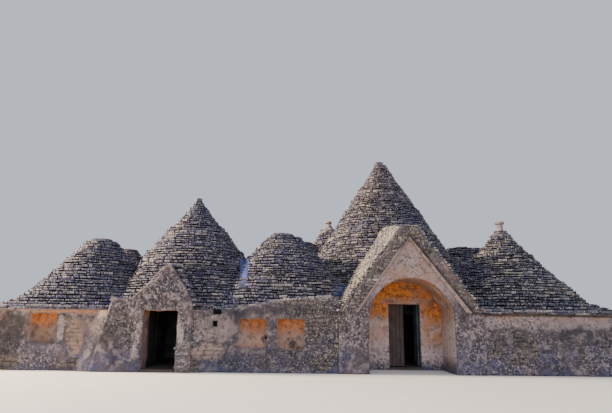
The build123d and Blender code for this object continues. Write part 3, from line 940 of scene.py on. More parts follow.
@dataclass
class ConeRoof:
    """Lays every slab of one cone in level courses, a fringe at its eave and rubble on a broken top.

    gap is half a joint, swell the relief of the courses, sunk the depth of the core behind the slabs, sway
    how far a bed rises and sinks, and deep how far inside another part a slab is left out.
    """

    cone: Cone
    finishes: Finishes
    rng: np.random.Generator
    pile: StonePile = field(default_factory=StonePile)
    seed: int = 41
    gap: float = 0.012
    swell: float = 0.03
    sunk: float = 0.075
    sway: float = 0.07
    deep: float = 0.14
    fringe_width: float = 0.48

    def build(self) -> None:
        """Covers the cone."""
        cone = self.cone
        self.courses()
        self.fringe()
        if cone.rubble_top:
            self.rubble()
        if cone.name == "main":
            self.broken_tip()
        self.pile.build(f"{cone.name}_slabs", self.finishes.slabs, cone.cool)
        self.bed()

    def bed(self) -> None:
        """Shaded core behind the slabs: the CAD cone with its outer face moved in.

        Points of the CAD cone that lie on its outline, just above or just below a band's step, go inwards,
        level and square to the outline, along the slope of the distance; its room's dome stays as it is.
        """
        cone = self.cone
        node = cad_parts[f"{cone.name}_cone"]
        mesh = node.data.copy()
        points = np.empty(len(mesh.vertices) * 3)
        mesh.vertices.foreach_get("co", points)
        points = points.reshape(-1, 3)
        nudge, beside, touching = 0.001, 0.003, 0.012
        under, over = points - UP * beside, points + UP * beside
        nearer = np.abs(cone.distance(under)) < np.abs(cone.distance(over))
        probe = np.where(nearer[:, None], under, over)
        away = cone.distance(probe)
        slope = np.stack([(cone.distance(probe + nudge * axis) - away) / nudge
                          for axis in np.eye(3)[:2]], axis=1)
        outer = (np.abs(away) < touching) & (points[:, 2] > PLATE_Z + 0.005)
        points[outer, :2] -= slope[outer] * (self.sunk + cone.wear(points[outer, 2]))[:, None]
        upper = outer & (points[:, 2] > cone.top - 0.01)
        slant = cone.fall * (points[upper, 0] - cone.x + cone.tiers[-1][1])
        points[upper, 2] -= self.sunk * 0.6 + cone.lost + slant
        mesh.vertices.foreach_set("co", points.ravel())
        mesh.materials.clear()
        mesh.materials.append(self.finishes.bed)
        mesh.update()
        core = put(f"{cone.name}_core", mesh)
        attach(core, HOUSE)
        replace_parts(core, f"{cone.name}_cone")
        log.info("%s: %d faces", core.name, len(mesh.polygons))

    def courses(self) -> None:
        """Level courses from the eave to the top, less what another part hides.

        Each stone's feet stand on the cone's outline at its course, moved out by a slow noise.
        """
        cone, rng = self.cone, self.rng
        z = PLATE_Z + 0.13
        groups = []
        while z < cone.top - 0.05:
            thick = min(cone.pitch * rng.uniform(0.72, 1.28), cone.top - z + 0.01)
            girth = cone.girth(z)
            count = max(6, int(girth / cone.width))
            edges = split_ring(rng, count, 0.4, 1.7)
            gap = self.gap / girth
            level = z + self.waves(edges[:-1], z)
            left, left_out = cone.outline(level, (edges[:-1] + gap) % 1)
            right, right_out = cone.outline(level, (edges[1:] - gap) % 1)
            back = cone.wear(level)[:, None]
            left, right = left - left_out * back, right - right_out * back
            middle = (left + right) / 2
            top = cone.top - cone.lost - cone.fall * (middle[:, 0] - cone.x + cone.tiers[-1][1])
            keep = ~covered(middle + UP * thick / 2, cone.name, -self.deep) & (level + thick < top + 0.03)
            groups.append([v[keep] for v in (left, right, left_out, right_out, np.full(count, thick))])
            z += thick
        left, right, left_out, right_out, thick = (np.concatenate(group) for group in zip(*groups))
        middle = (left + right) / 2
        n = len(left)
        around = np.arctan2(middle[:, 1] - FRONT_Y - cone.depth, middle[:, 0] - cone.x) * 1.5
        proud = rng.uniform(-0.028, 0.024, n)
        proud = proud + (rng.random(n) < 0.08) * 0.02 - (rng.random(n) < 0.05) * 0.04
        proud = proud + self.swell * (fractal(around, middle[:, 2], 0.9, self.seed, 3) - 0.4)
        laid = stones(left, right, left_out, right_out, UP, rng.uniform(0.016, 0.042, n),
                      thick + rng.uniform(-0.024, 0.008, n), proud, np.full(n, 0.2), 0.012, rng, 2.2)
        # Painted highlight: slabs turn paler round the cone's lit place.
        painted_highlight = np.exp(-((middle[:, 0] - cone.lit[0]) / 0.6) ** 2 - ((middle[:, 2] - cone.lit[1]) / 0.6) ** 2)
        tone = np.clip(0.12 + 0.3 * painted_highlight + 0.6 * fractal(around, middle[:, 2], 1.3, self.seed + 7, 3)
                       + rng.normal(0, 0.3, n), 0, 1)
        spots = np.clip(cone.lichen * smooth_step(middle[:, 2], cone.top - 2.6, cone.top) * 2
                        + 0.1 * rng.random(n), 0, 1)
        self.pile.add(laid, tone, spots)

    def waves(self, share: Array, z: float) -> Array:
        """How far a bed rises or sinks: a slow noise round the cone, still near its eave and top.

        Args:
            share: how far round the cone each stone is.
            z: height of the course.

        Returns:
            Rises in metres.
        """
        calm = min(1.0, (z - PLATE_Z - 0.1) / 0.5, (self.cone.top - z) / 0.6)
        turn = 2 * math.pi * share
        radius = self.cone.girth(z) / (2 * math.pi)
        noise = fractal(radius * np.cos(turn) + 20, radius * np.sin(turn) + z, 0.7, self.seed + 31, 3)
        return self.sway * calm * (noise - 0.5)

    def fringe(self) -> None:
        """Course of larger slabs that throws the rain clear of the wall, in two uneven layers."""
        cone, rng = self.cone, self.rng
        for z, thick, proud in ((PLATE_Z - 0.005, 0.062, 0.02), (PLATE_Z + 0.057, 0.078, 0.05)):
            girth = cone.girth(z)
            count = int(girth / self.fringe_width)
            edges = split_ring(rng, count, 0.6, 1.4)
            gap = 0.01 / girth
            left, left_out = cone.outline(np.full(count, z), (edges[:-1] + gap) % 1)
            right, right_out = cone.outline(np.full(count, z), (edges[1:] - gap) % 1)
            middle = (left + right) / 2 + (left_out + right_out) * 0.02
            keep = ~covered(middle + UP * thick / 2, cone.name, -self.deep)
            m = int(keep.sum())
            sides = (v[keep] for v in (left, right, left_out, right_out))
            laid = stones(*sides, UP, rng.uniform(-0.006, 0.006, m), thick + rng.uniform(-0.012, 0.006, m),
                          proud + rng.uniform(-0.04, 0.03, m), np.full(m, 0.3), 0.012, rng, 1.8)
            self.pile.add(laid, rng.uniform(0.3, 0.9, m))

    def rubble(self) -> None:
        """Loose stones heaped over a top whose upper courses have fallen."""
        cone, rng = self.cone, self.rng
        radius = float(cone.section(cone.top)[0])
        n = int(80 * radius * cone.spill / 0.5)
        angle = rng.uniform(0, 2 * math.pi, n)
        reach = radius * cone.spill * np.sqrt(rng.random(n))
        lift = 0.03 * (1 - reach / radius) + rng.uniform(-0.14, -0.07, n)
        lift = lift - cone.fall * (reach * np.cos(angle) + radius)
        centres = np.stack([cone.x + reach * np.cos(angle), FRONT_Y + cone.depth + reach * np.sin(angle),
                            cone.top - cone.lost + lift], axis=1)
        sizes = mixed(rng, n, (0.16, 0.36), (0.14, 0.28), (0.05, 0.09))
        laid = tumbled(centres, sizes, rng.uniform(0, math.pi, n), rng, 0.14)
        self.pile.add(laid, rng.uniform(0.1, 0.9, n))

    def broken_tip(self) -> None:
        """Rough stones round the main cone's leaning tip."""
        cone, rng = self.cone, self.rng
        n, lean, drop = 26, 0.03, 0.36
        angle = rng.uniform(0, 2 * math.pi, n)
        height = rng.uniform(-drop, -0.02, n)
        reach = 0.2 - 0.15 * (height + drop)
        centres = np.stack([cone.x - lean + reach * np.cos(angle),
                            FRONT_Y + cone.depth + reach * np.sin(angle), cone.top + height], axis=1)
        sizes = mixed(rng, n, (0.12, 0.24), (0.1, 0.16), (0.06, 0.13))
        laid = tumbled(centres, sizes, angle + math.pi / 2, rng, 0.3)
        self.pile.add(laid, rng.uniform(0.2, 0.8, n), 0.45)


@dataclass
class RoofFill:
    """Flat stones that pave the gutters and the wall tops between the cones."""

    finishes: Finishes
    step: float = 0.36
    edge: float = 0.16
    seed: int = 90

    def build(self) -> None:
        """Lays two loose layers over every part of the plate that no cone covers."""
        rng = np.random.default_rng(self.seed)
        pile = StonePile()
        for layer in range(2):
            x, y = np.meshgrid(np.arange(LEFT_X + 0.2, RIGHT_X - 0.1, self.step),
                               np.arange(FRONT_Y + 0.2, BACK_Y - 0.1, self.step))
            n = x.size
            x = x.ravel() + rng.uniform(-0.1, 0.1, n)
            y = y.ravel() + rng.uniform(-0.1, 0.1, n)
            z = PLATE_Z + 0.03 + 0.09 * layer + rng.uniform(0, 0.03, n)
            points = np.stack([x, y, z], axis=1)
            inside = (x > LEFT_X + self.edge) & (x < RIGHT_X - self.edge)
            inside &= (y > FRONT_Y + self.edge + 0.01) & (y < BACK_Y - self.edge)
            beside = covered(points, margin=0.35) & (rng.random(n) < 0.7)
            centres = points[inside & ~covered(points, margin=-0.12) & (beside | (layer == 0))]
            m = len(centres)
            sizes = mixed(rng, m, (0.26, 0.46), (0.22, 0.36), (0.05, 0.1))
            pile.add(tumbled(centres, sizes, rng.uniform(-0.5, 0.5, m), rng, 0.1), rng.uniform(0.1, 0.8, m))
        pile.build("wall_top_stones", self.finishes.slabs)


# Bands: arch, gable, copings and mouldings


def spread(keys: Sequence[tuple[float, float]], counts: Sequence[int]) -> Array:
    """Points along a line of few keys, with this many steps in each run.

    Args:
        keys: the line's corners.
        counts: steps in each run between two corners.

    Returns:
        Points, the last corner among them.
    """
    keys = np.asarray(keys, float)
    runs = [keys[i] + (keys[i + 1] - keys[i]) * np.linspace(0, 1, n, endpoint=False)[:, None]
            for i, n in enumerate(counts)]
    return np.concatenate([*runs, keys[-1:]])


@dataclass
class Band:
    """Solid band between two matching outlines in X and Z, with worn faces.

    Across the front it runs from the inner outline to the outer, then back along the outer side, and so
    round; each point is moved along its face's outward direction by a noise.
    """

    inner: Array
    outer: Array
    front: float
    back: float
    across: int = 14
    through: int = 14
    wear: float = 0.015
    size: float = 0.5
    chamfer: float = 0.015
    seed: int = 5
    rise: float = 0.0

    def mesh(self) -> Skin:
        """Works out the band's surface.

        Returns:
            Vertices and faces.
        """
        width = np.linalg.norm(self.outer - self.inner, axis=1).mean()
        edge_t = min(0.2, self.chamfer / width)
        edge_s = min(0.2, self.chamfer / abs(self.back - self.front))
        t_run = np.linspace(edge_t, 1 - edge_t, self.across)
        s_run = np.linspace(edge_s, 1 - edge_s, self.through)
        t = np.concatenate([t_run, np.ones(self.through), t_run[::-1], np.zeros(self.through)])
        s = np.concatenate([np.zeros(self.across), s_run, np.ones(self.across), s_run[::-1]])
        turns = (self.across, self.through, self.across, self.through)
        radial = np.repeat([0.0, 1.0, 0.0, -1.0], turns)
        forward = np.repeat([1.0, 0.0, -1.0, 0.0], turns)
        flat = self.inner[:, None, :] + (self.outer - self.inner)[:, None, :] * t[None, :, None]
        y = np.broadcast_to(self.front + (self.back - self.front) * s, flat.shape[:2])
        out = (self.outer - self.inner) / np.linalg.norm(self.outer - self.inner, axis=1, keepdims=True)
        lift = self.rise * (y - self.front)
        middle = (self.inner + self.outer) / 2
        along = np.concatenate([[0], np.cumsum(np.linalg.norm(np.diff(middle, axis=0), axis=1))])
        noise_a = fractal(flat[..., 0] + y * radial, flat[..., 1] + along[:, None] * 0.1, self.size,
                          self.seed)
        noise_b = fractal(along[:, None] + 0 * y, y, self.size, self.seed + 9)
        amount = self.wear * (2 * np.where(radial == 0, noise_a, noise_b) - 0.6)
        x = flat[..., 0] + out[:, None, 0] * radial * amount
        z = flat[..., 1] + out[:, None, 1] * radial * amount + lift
        points = np.stack([x, y - forward * amount, z], axis=2)
        rows, columns = points.shape[:2]
        faces = grid_faces(rows, columns, close_rows=True).tolist()
        faces.append(list(range(columns))[::-1])
        faces.append(list(range((rows - 1) * columns, rows * columns)))
        return points.reshape(-1, 3), faces


@dataclass
class Porch:
    """Main porch: arched shell, door wall, copings, drip moulding, slab roof and saddle.

    jambs and reveal are how many steps the arch's jambs and the door's reveal have, and block is the height
    and the length of the door wall's stones.
    """

    finishes: Finishes
    seed: int = 300
    jambs: int = 28
    reveal: int = 5
    block: tuple[float, float] = (0.27, 0.46)

    def build(self) -> None:
        """Builds each piece of the porch."""
        self.shell()
        self.door_wall()
        self.coping()
        self.drip()
        self.roof_slabs()
        dress(self.finishes.inside, "door_left_wall", "door_right_wall", "door_head_wall", "porch_saddle")
        dress(self.finishes.bed, "porch_left_slope", "porch_right_slope")

    def arch(self, radius: float, steps: int, jambs: int, low: float = 0.0) -> Array:
        """Arch outline: a straight jamb, an arc about its spring and a straight jamb, walked left to right.

        Args:
            radius: of the arc, and half the width between the jambs.
            steps: points along the arc.
            jambs: points along each jamb.
            low: share of the half circle that is left off at each end.

        Returns:
            Points in X and Z.
        """
        angle = np.linspace(math.pi * (1 - low), math.pi * low, steps)
        crown = np.stack([PORCH_X + radius * np.cos(angle), ARCH_SPRING + radius * np.sin(angle)], axis=1)
        jamb = np.linspace(0, crown[0, 1], jambs, endpoint=False)
        left = np.stack([np.full(jambs, PORCH_X - radius), jamb], axis=1)
        right = np.stack([np.full(jambs, PORCH_X + radius), jamb[::-1]], axis=1)
        return np.concatenate([left, crown, right])

    def shell(self) -> None:
        """Front face round the arch, the arch's soffit and the sides, in one worn plaster surface."""
        inner = self.arch(ARCH_RADIUS - 0.012, 57, self.jambs)
        half = COPING_FOOT + 0.25
        rake = np.linspace(0, 1, 29)[:, None]
        low = np.array([PORCH_X - half, PLATE_Z + 0.02])
        peak = np.array([PORCH_X, PLATE_Z + RAKE_SLOPE * half])
        left_rake = low + (peak - low) * rake
        right_rake = left_rake[::-1][1:] * np.array([-1, 1]) + np.array([2 * PORCH_X, 0])
        outer_jamb = np.linspace(0, PLATE_Z - 0.02, self.jambs)
        edge = PORCH_HALF + 0.012
        left = np.stack([np.full(self.jambs, PORCH_X - edge), outer_jamb], axis=1)
        right = np.stack([np.full(self.jambs, PORCH_X + edge), outer_jamb[::-1]], axis=1)
        outer = np.concatenate([left, left_rake, right_rake, right])
        band = Band(inner, outer, PORCH_Y - 0.008, DOOR_WALL_Y + 0.02, 26, 34, 0.016, 0.45, seed=self.seed)
        points, faces = band.mesh()
        x, y, z = points.T
        radius = np.hypot(x - PORCH_X, np.maximum(z - ARCH_SPRING, 0))
        soffit = (radius < ARCH_RADIUS + 0.05) & (y > PORCH_Y + 0.05)
        ochre = np.where(soffit, 0.42, 0.0) * smooth_step(z, 0.9, 2.3)
        ochre = np.maximum(ochre, 0.55 * smooth_step(z, 2.4, 2.9) * fractal(x, z, 0.6, 12))
        bare = smooth_step(fractal(x + y, z, 0.4, 77), 0.56, 0.66) * 0.5
        face = smooth_step(z, 2.0, 2.6) * (y < PORCH_Y + 0.1)
        # Painted bounce light: the soffit is painted paler than plain plaster from just above the floor up.
        light = np.maximum(1.35 * soffit * smooth_step(z, 0.1, 0.6), 0.6 * face)
        shell = new_piece("porch_shell", points, faces, self.finishes.plaster, smooth=True,
                          attributes={"ochre": ochre, "bare": bare * (1 - np.minimum(light, 1)),
                                      "tone": fractal(x, z, 0.12, 4, 2), "light": light})
        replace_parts(shell, "porch_left_pier", "porch_right_pier", "porch_gable")

    def door_wall(self) -> None:
        """Wall that holds the door: big blocks bare below, painted paler there as bounce light, ochre lime
        peeling off them above.

        Joints are grooves at the edges of staggered blocks; the lime stands out where a noise is high.
        """
        left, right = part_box("door_left_wall")[1].x + 0.004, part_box("door_right_wall")[0].x - 0.004
        head, sides = DOOR_HEAD - 0.004, 46
        inner = spread([(left, 0.0), (left, head), (right, head), (right, 0.0)], (sides, 36, sides))
        outer = self.arch(ARCH_RADIUS + 0.03, 37, sides, 0.06)
        t = np.linspace(0, 1, 46)[None, :, None]
        flat = inner[:, None, :] + (outer - inner)[:, None, :] * t
        x, z = flat[..., 0], flat[..., 1]
        high, long = self.block
        row = np.floor(z / high)
        course = z / high - row
        brick = x / long + 0.5 * (row % 2) + 0.13 * np.sin(row * 2.4)
        across = brick - np.floor(brick)
        groove = np.minimum(np.minimum(course, 1 - course) * high, np.minimum(across, 1 - across) * long)
        lime = smooth_step(fractal(x, z, 0.35, self.seed + 4) + 0.1 * np.abs(z - 2.2), 0.46, 0.52)
        stone = 0.016 * smooth_step(groove, 0.0, 0.03) + 0.01 * fractal(x, z, 0.2, 61)
        lime_face = 0.028 + 0.012 * fractal(x, z, 0.4, 62)
        out = np.where(lime > 0.5, lime_face, stone)
        front = np.stack([x, DOOR_WALL_Y - 0.004 - out, z], axis=2)
        depths = np.linspace(0.1, 0.0, self.reveal, endpoint=False)[None, :]
        shape = (len(x), self.reveal)
        reveal = np.stack([np.broadcast_to(x[:, :1], shape), DOOR_WALL_Y + depths + 0 * x[:, :1],
                           np.broadcast_to(z[:, :1], shape)], axis=2)
        back = front + np.array([0, 0.12, 0])
        back_reveal = reveal + (outer - inner)[:, None, [0, 0, 1]] * np.array([0.03, 0, 0.03])
        points, faces = closed_sheet(np.concatenate([reveal, front], axis=1),
                                     np.concatenate([back_reveal, back], axis=1))
        upper = smooth_step(z + 0.25 * fractal(x, z, 0.5, 3), 1.6, 2.1)
        side = 0.2 + 0.2 * smooth_step(x, PORCH_X, PORCH_X + 0.6)
        beam = smooth_step(np.abs(x - PORCH_X - 0.1), 1.0, 0.8)
        beam = beam * smooth_step(z, 2.18, 2.22) * smooth_step(z, 2.42, 2.34)
        trim = smooth_step(np.linalg.norm(flat - inner[:, None, :], axis=2), 0.12, 0.08)
        trim = trim * smooth_step(z, 0.9, 1.3)
        outlines = smooth_step(np.abs(fractal(x * 1.3, z * 1.6, 0.2, self.seed + 13, 3) - 0.5), 0.035, 0.0)
        ochre = upper * (0.62 + 0.38 * lime) + (1 - upper) * side * smooth_step(z, 0.5, 1.1)
        # Painted bounce light: the lower wall is painted paler, past plain plaster where the noise is high.
        light = (1 - upper) * (0.75 + 0.7 * fractal(x, z, 0.4, 66)) * smooth_step(z, 0.05, 0.4)
        light = np.maximum(light, np.maximum(0.6 * beam, 0.95 * trim))
        block_tone = 0.6 + 0.4 * value_noise(row * 3.7, np.floor(brick), 1, 8)
        shares = {"ochre": ochre * (1 - 0.45 * beam) * (1 - 0.5 * trim),
                  "bare": (1 - lime) * (0.3 + 0.4 * upper) * (1 - np.minimum(light, 1)),
                  "tone": 0.25 + 0.75 * smooth_step(groove, 0, 0.025) * block_tone, "light": light,
                  "shade": 0.6 * outlines * upper * (1 - beam) * (1 - trim)}
        new_piece("porch_door_wall_face", points, faces, self.finishes.ochre_plaster,
                  attributes={name: self.over_reveal(share) for name, share in shares.items()})

    def over_reveal(self, value: Array) -> Array:
        """Values of the door wall's front grid, carried over its reveal and repeated for the hidden side."""
        reveal = np.repeat(value[:, :1], self.reveal, axis=1)
        return np.tile(np.concatenate([reveal, value], axis=1).ravel(), 2)

    def rake_band(self, outer_half: float, inner_half: float, front: float, back: float, wear: float,
                  seed: int, flat_top: float = 0.0, across: int = 8, through: int = 6,
                  outer_moved: bool = False, inner_moved: bool = True) -> Skin:
        """Band along both rakes between two half widths, bent over the ridge.

        A moved edge peaks higher and has its right foot further out than the solids' coping.

        Args:
            outer_half: half width of its outer edge at the plate.
            inner_half: half width of its inner edge there.
            front: Y of its front.
            back: Y of its back.
            wear: height of the noise on its faces.
            seed: picks the noise.
            flat_top: half width of its flat top.
            across: steps from edge to edge.
            through: steps from front to back.
            outer_moved: whether its outer edge is moved.
            inner_moved: whether its inner edge is.

        Returns:
            Vertices and faces.
        """
        edges = []
        for half, moved, top in ((inner_half, inner_moved, flat_top * 0.3 + 0.01),
                                 (outer_half, outer_moved, flat_top)):
            peak = PLATE_Z + RAKE_SLOPE * (half - top) + COPING_RISE * moved
            keys = [(PORCH_X - half, PLATE_Z), (PORCH_X - top, peak), (PORCH_X + top, peak),
                    (PORCH_X + half + COPING_SHIFT * moved, PLATE_Z)]
            edges.append(spread(keys, (44, 6, 44)))
        band = Band(*edges, front, back, across, through, wear, 0.35, 0.02, seed, math.tan(RIDGE_ANGLE))
        return band.mesh()

    def coping(self) -> None:
        """Raised coping over the gable: stones bedded in lime, orange with lichen on its right."""
        points, faces = self.rake_band(PORCH_HALF - 0.01, COPING_FOOT - 0.01, COPING_Y - 0.004,
                                       COPING_Y + 0.62, 0.024, self.seed + 21, RIDGE_HALF, 9, 9)
        x, y, z = points.T
        patches = smooth_step(fractal(x, z, 0.4, 9), 0.4, 0.6)
        ochre = (0.03 + 0.12 * smooth_step(x, PORCH_X - 0.2, PORCH_X + 0.5)) * patches
        bare = 0.35 + 0.5 * smooth_step(fractal(x, z + y, 0.4, 14), 0.4, 0.6)
        new_piece("porch_coping", points, faces, self.finishes.plaster, smooth=True,
                  attributes={"tone": 0.15 + 0.6 * fractal(x, z, 0.14, 33, 3), "ochre": ochre, "bare": bare})
        points, faces = self.rake_band(COPING_FOOT + 0.02, COPING_FOOT - 0.03, COPING_Y - 0.012,
                                       PORCH_Y + 0.03, 0.008, self.seed + 27, 0.0, 8, 4, True, False)
        x = points[:, 0]
        new_piece("porch_rake_plaster", points, faces, self.finishes.plaster, smooth=True,
                  attributes={"light": 0.55 + 0.3 * smooth_step(x, PORCH_X, PORCH_X - 0.3),
                              "ochre": 0.1 + 0 * x})
        self.coping_stones()

    def coping_stones(self) -> None:
        """Face stones of the coping in level rows between each rake's edges, a fifth of them under lime."""
        rng = np.random.default_rng(self.seed + 24)
        pile = StonePile()
        for side in (-1, 1):
            height = PLATE_Z + 0.03
            while height < PORCH_PEAK - 0.16:
                step = rng.uniform(0.07, 0.12)
                reach = PORCH_HALF - (height + step / 2 - PLATE_Z) / RAKE_SLOPE
                share = (height + step - PLATE_Z) / (RAKE_SLOPE * COPING_FOOT + COPING_RISE)
                first = (COPING_FOOT + COPING_SHIFT * (side > 0)) * (1 - share) + rng.uniform(0.03, 0.1)
                edges = max(first, 0.03) + np.cumsum([0, *rng.uniform(0.1, 0.24, 6)])
                edges = edges[edges < reach - 0.01]
                near = edges[rng.random(len(edges)) < 0.8]
                far = np.minimum(near + rng.uniform(0.09, 0.2, len(near)), reach - 0.005)
                low_x, high_x = (near, far) if side > 0 else (-far, -near)
                m = len(near)
                height += step
                if m == 0:
                    continue
                left = np.stack([PORCH_X + low_x, np.full(m, COPING_Y - 0.004), np.full(m, height - step)],
                                axis=1)
                right = left + np.array([1.0, 0, 0]) * (high_x - low_x)[:, None]
                out = np.tile([0, -1.0, 0], (m, 1))
                low = rng.uniform(0, 0.02, m)
                laid = stones(left, right, out, out, UP, low, low + step * rng.uniform(0.6, 0.9, m),
                              rng.uniform(0.012, 0.045, m), np.full(m, 0.06), 0.014, rng, 1.2)
                pile.add(laid, np.clip(rng.normal(0.46, 0.22, m), 0, 1),
                         smooth_step(rng.random(m), 0.45 if side > 0 else 0.75, 1.0))
        pile.build("porch_coping_stones", self.finishes.coping)

    def drip(self) -> None:
        """Thin moulding under the coping's inner edge, carried level along the wall on the right."""
        points, faces = self.rake_band(COPING_FOOT, COPING_FOOT - 0.07, COPING_Y - 0.035, PORCH_Y + 0.03,
                                       0.008, self.seed + 31, 0.0, 4, 4, True)
        # The moulding is paler on the porch's left.
        limed = smooth_step(points[:, 0], PORCH_X - 0.2, PORCH_X - 0.4)
        piece = new_piece("porch_drip", points, faces, self.finishes.moulding, smooth=True,
                          attributes={"tone": limed})
        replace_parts(piece, "drip_moulding")
        low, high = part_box("right_cornice")
        keys = np.linspace(low.x - 0.27, high.x, 120)
        sag = 0.012 * (value_noise(keys, 0 * keys, 0.9, 50) - 0.5)
        under = np.stack([keys, low.z + sag], axis=1)
        over = np.stack([keys, high.z + sag], axis=1)
        band = Band(under, over, low.y - 0.004, high.y, 4, 5, 0.008, 0.3, 0.012, self.seed + 35)
        points, faces = band.mesh()
        piece = new_piece("wall_cornice", points, faces, self.finishes.moulding, smooth=True)
        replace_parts(piece, "right_cornice")

    def roof_slabs(self) -> None:
        """Pale slabs in level courses up both slopes, each set back over the one below, and a ridge."""
        rng = np.random.default_rng(self.seed + 60)
        rise = math.tan(RIDGE_ANGLE)
        splay = rise / RAKE_SLOPE
        pile = StonePile()
        for side in (-1, 1):
            height = PLATE_Z + 0.02
            outward = np.array([side, -splay, 0]) / math.hypot(1, splay)
            while height < PORCH_PEAK + 0.9:
                step = rng.uniform(0.065, 0.1)
                edges = COPING_Y + rng.uniform(-0.02, 0.04) + np.cumsum([0, *rng.uniform(0.1, 0.26, 44)])
                y0, y1 = edges[:-1] + 0.014, edges[1:] - 0.014
                reach = PORCH_HALF - (height - PLATE_Z - rise * (np.stack([y0, y1]) - COPING_Y)) / RAKE_SLOPE
                x0, x1 = PORCH_X + side * reach
                middle = np.stack([(x0 + x1) / 2, (y0 + y1) / 2, 0 * y0 + height + step / 2], axis=1)
                hidden = in_parapet(middle, -0.02)
                for cone in CONES:
                    hidden |= cone.distance(middle) < -0.06
                ridge = PORCH_PEAK + rise * (middle[:, 1] - COPING_Y)
                keep = (reach.min(0) > RIDGE_HALF - 0.1) & ~hidden & (y1 < FRONT_Y + PORCH_ROOF_DEPTH + 0.1)
                keep &= height + step < ridge + 0.06
                near, far = (np.stack([x, y, 0 * y + height], 1)[keep] for x, y in ((x0, y0), (x1, y1)))
                m = len(near)
                if m:
                    start, end = (near, far) if side > 0 else (far, near)
                    out = np.tile(outward, (m, 1))
                    laid = stones(start, end, out, out, UP, rng.uniform(0, 0.012, m),
                                  step * rng.uniform(0.55, 0.84, m), rng.uniform(0.035, 0.085, m),
                                  np.full(m, 0.1), 0.012, rng, 1.8)
                    pile.add(laid, np.where(rng.random(m) < 0.14, 0.1, rng.uniform(0.8, 1.15, m)))
                height += step
        edges = COPING_Y + 0.6 + np.cumsum(rng.uniform(0.3, 0.5, 11))
        edges = edges[edges < FRONT_Y + PORCH_ROOF_DEPTH - 0.9]
        z = PORCH_PEAK + rise * (edges - COPING_Y)
        m = len(edges)
        for side in (-1, 1):
            centres = np.stack([PORCH_X + side * 0.13 + 0 * edges, edges,
                                z + 0.015 + rng.uniform(0, 0.02, m)], axis=1)
            sizes = mixed(rng, m, (0.26, 0.36), (0.26, 0.38), (0.05, 0.07))
            pile.add(tumbled(centres, sizes, rng.uniform(-0.2, 0.2, m), rng, 0.08), rng.uniform(0.4, 0.9, m))
        pile.build("porch_roof_slabs", self.finishes.slabs)


@dataclass
class LeftPortal:
    """Left portal: a rough plastered gable on a battered pier and a plain pier."""

    finishes: Finishes
    seed: int = 500

    def build(self) -> None:
        """Builds the gable's skin and its loose top stones."""
        counts = (30, 16, 4, 5, 10, 7, 14, 5, 36)
        inner = spread(PORTAL_INNER, counts)
        inner[:, 0] += np.where(inner[:, 0] < -4.5, 0.005, 0.03) * (inner[:, 1] < 1.8)
        inner[:, 1] -= 0.012 * (inner[:, 1] > 1.8)
        outer = spread(PORTAL_OUTER, counts)
        outer[:, 0] += np.where(outer[:, 0] < -4.1, -0.01, 0.012)
        outer[:, 0] -= 0.14 * smooth_step(outer[:, 1], 2.4, 3.2)
        ragged = 0.05 * (fractal(outer[:, 0], outer[:, 1], 0.25, 31, 3) - 0.35)
        outer[:, 1] += ragged * (outer[:, 1] > 1.9)
        band = Band(inner, outer, PORTAL_Y - 0.006, PORTAL_BACK_Y - 0.01, 30, 30, 0.03, 0.5, 0.03, self.seed)
        points, faces = band.mesh()
        x, y, z = points.T
        reveal = (x > -5.1) & (x < -3.8) & (z < 1.95) & (y > PORTAL_Y + 0.04)
        ochre = (0.16 + 0.7 * smooth_step(z, 1.55, 1.82)) * reveal
        jamb = smooth_step(x, -3.98, -3.85) * (1 - smooth_step(z, 0.7, 1.0))
        low_left = smooth_step(fractal(x, z, 0.6, 88), 0.55, 0.68) * (1 - smooth_step(z, 1.0, 1.8))
        shade = reveal * smooth_step(y, PORTAL_Y + 0.6, PORTAL_Y + 0.68)
        bare = np.clip(0.5 * jamb + low_left * 0.3, 0, 1)
        ochre = ochre * (1 - shade)
        face = y < PORTAL_Y + 0.1
        block = Patch((-3.8, 1.2), (0.13, 0.38)).share(x, z)
        strip = smooth_step(np.abs(x + 5.26 - 0.16 * z), 0.1, 0.04)
        strip = strip * smooth_step(z, 0.3, 0.45) * smooth_step(z, 1.5, 1.35)
        for patch in (Patch((-5.98, 1.12), (0.4, 0.36), shade=0.5),
                      Patch((-5.7, 1.2), (0.6, 0.8), shade=0.25),
                      Patch((-4.4, 2.03), (0.7, 0.13), shade=0.3)):
            shade = np.maximum(shade, patch.shade * face * patch.share(x, z))
        light = face * np.clip(0.7 * block + 0.55 * strip, 0, 1)
        shell = new_piece("portal_shell", points, faces, self.finishes.plaster, smooth=True,
                          attributes={"ochre": ochre, "bare": bare, "tone": fractal(x, z, 0.16, 6, 2),
                                      "shade": shade, "light": light})
        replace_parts(shell, "portal_left_pier", "portal_right_pier", "portal_gable")
        self.rubble()

    def rubble(self) -> None:
        """Pale stones standing out of the broken plaster at the right jamb, and stones along the gable."""
        rng = np.random.default_rng(self.seed + 3)
        n = 40
        z = np.sort(rng.uniform(0.04, 0.85, n))
        centres = np.stack([rng.uniform(-3.86, -3.54, n), np.full(n, PORTAL_Y + 0.02), z], axis=1)
        sizes = mixed(rng, n, (0.1, 0.22), (0.08, 0.1), (0.04, 0.08))
        jamb = tumbled(centres, sizes, rng.uniform(-0.12, 0.12, n), rng, 0.05)
        top = spread(PORTAL_OUTER[3:8], (4, 8, 3, 8))
        m = len(top)
        depth = rng.uniform(PORTAL_Y + 0.12, PORTAL_Y + 0.3, m)
        centres = np.stack([top[:, 0], depth, top[:, 1] + 0.015], axis=1)
        sizes = mixed(rng, m, (0.14, 0.3), (0.2, 0.34), (0.06, 0.1))
        crown = tumbled(centres, sizes, rng.uniform(-0.2, 0.2, m), rng, 0.1)
        pile = StonePile()
        pile.add(jamb, rng.uniform(0.4, 1.0, n))
        pile.add(crown, rng.uniform(0.2, 0.7, m))
        pile.build("portal_loose_stones", self.finishes.slabs)


# Walls


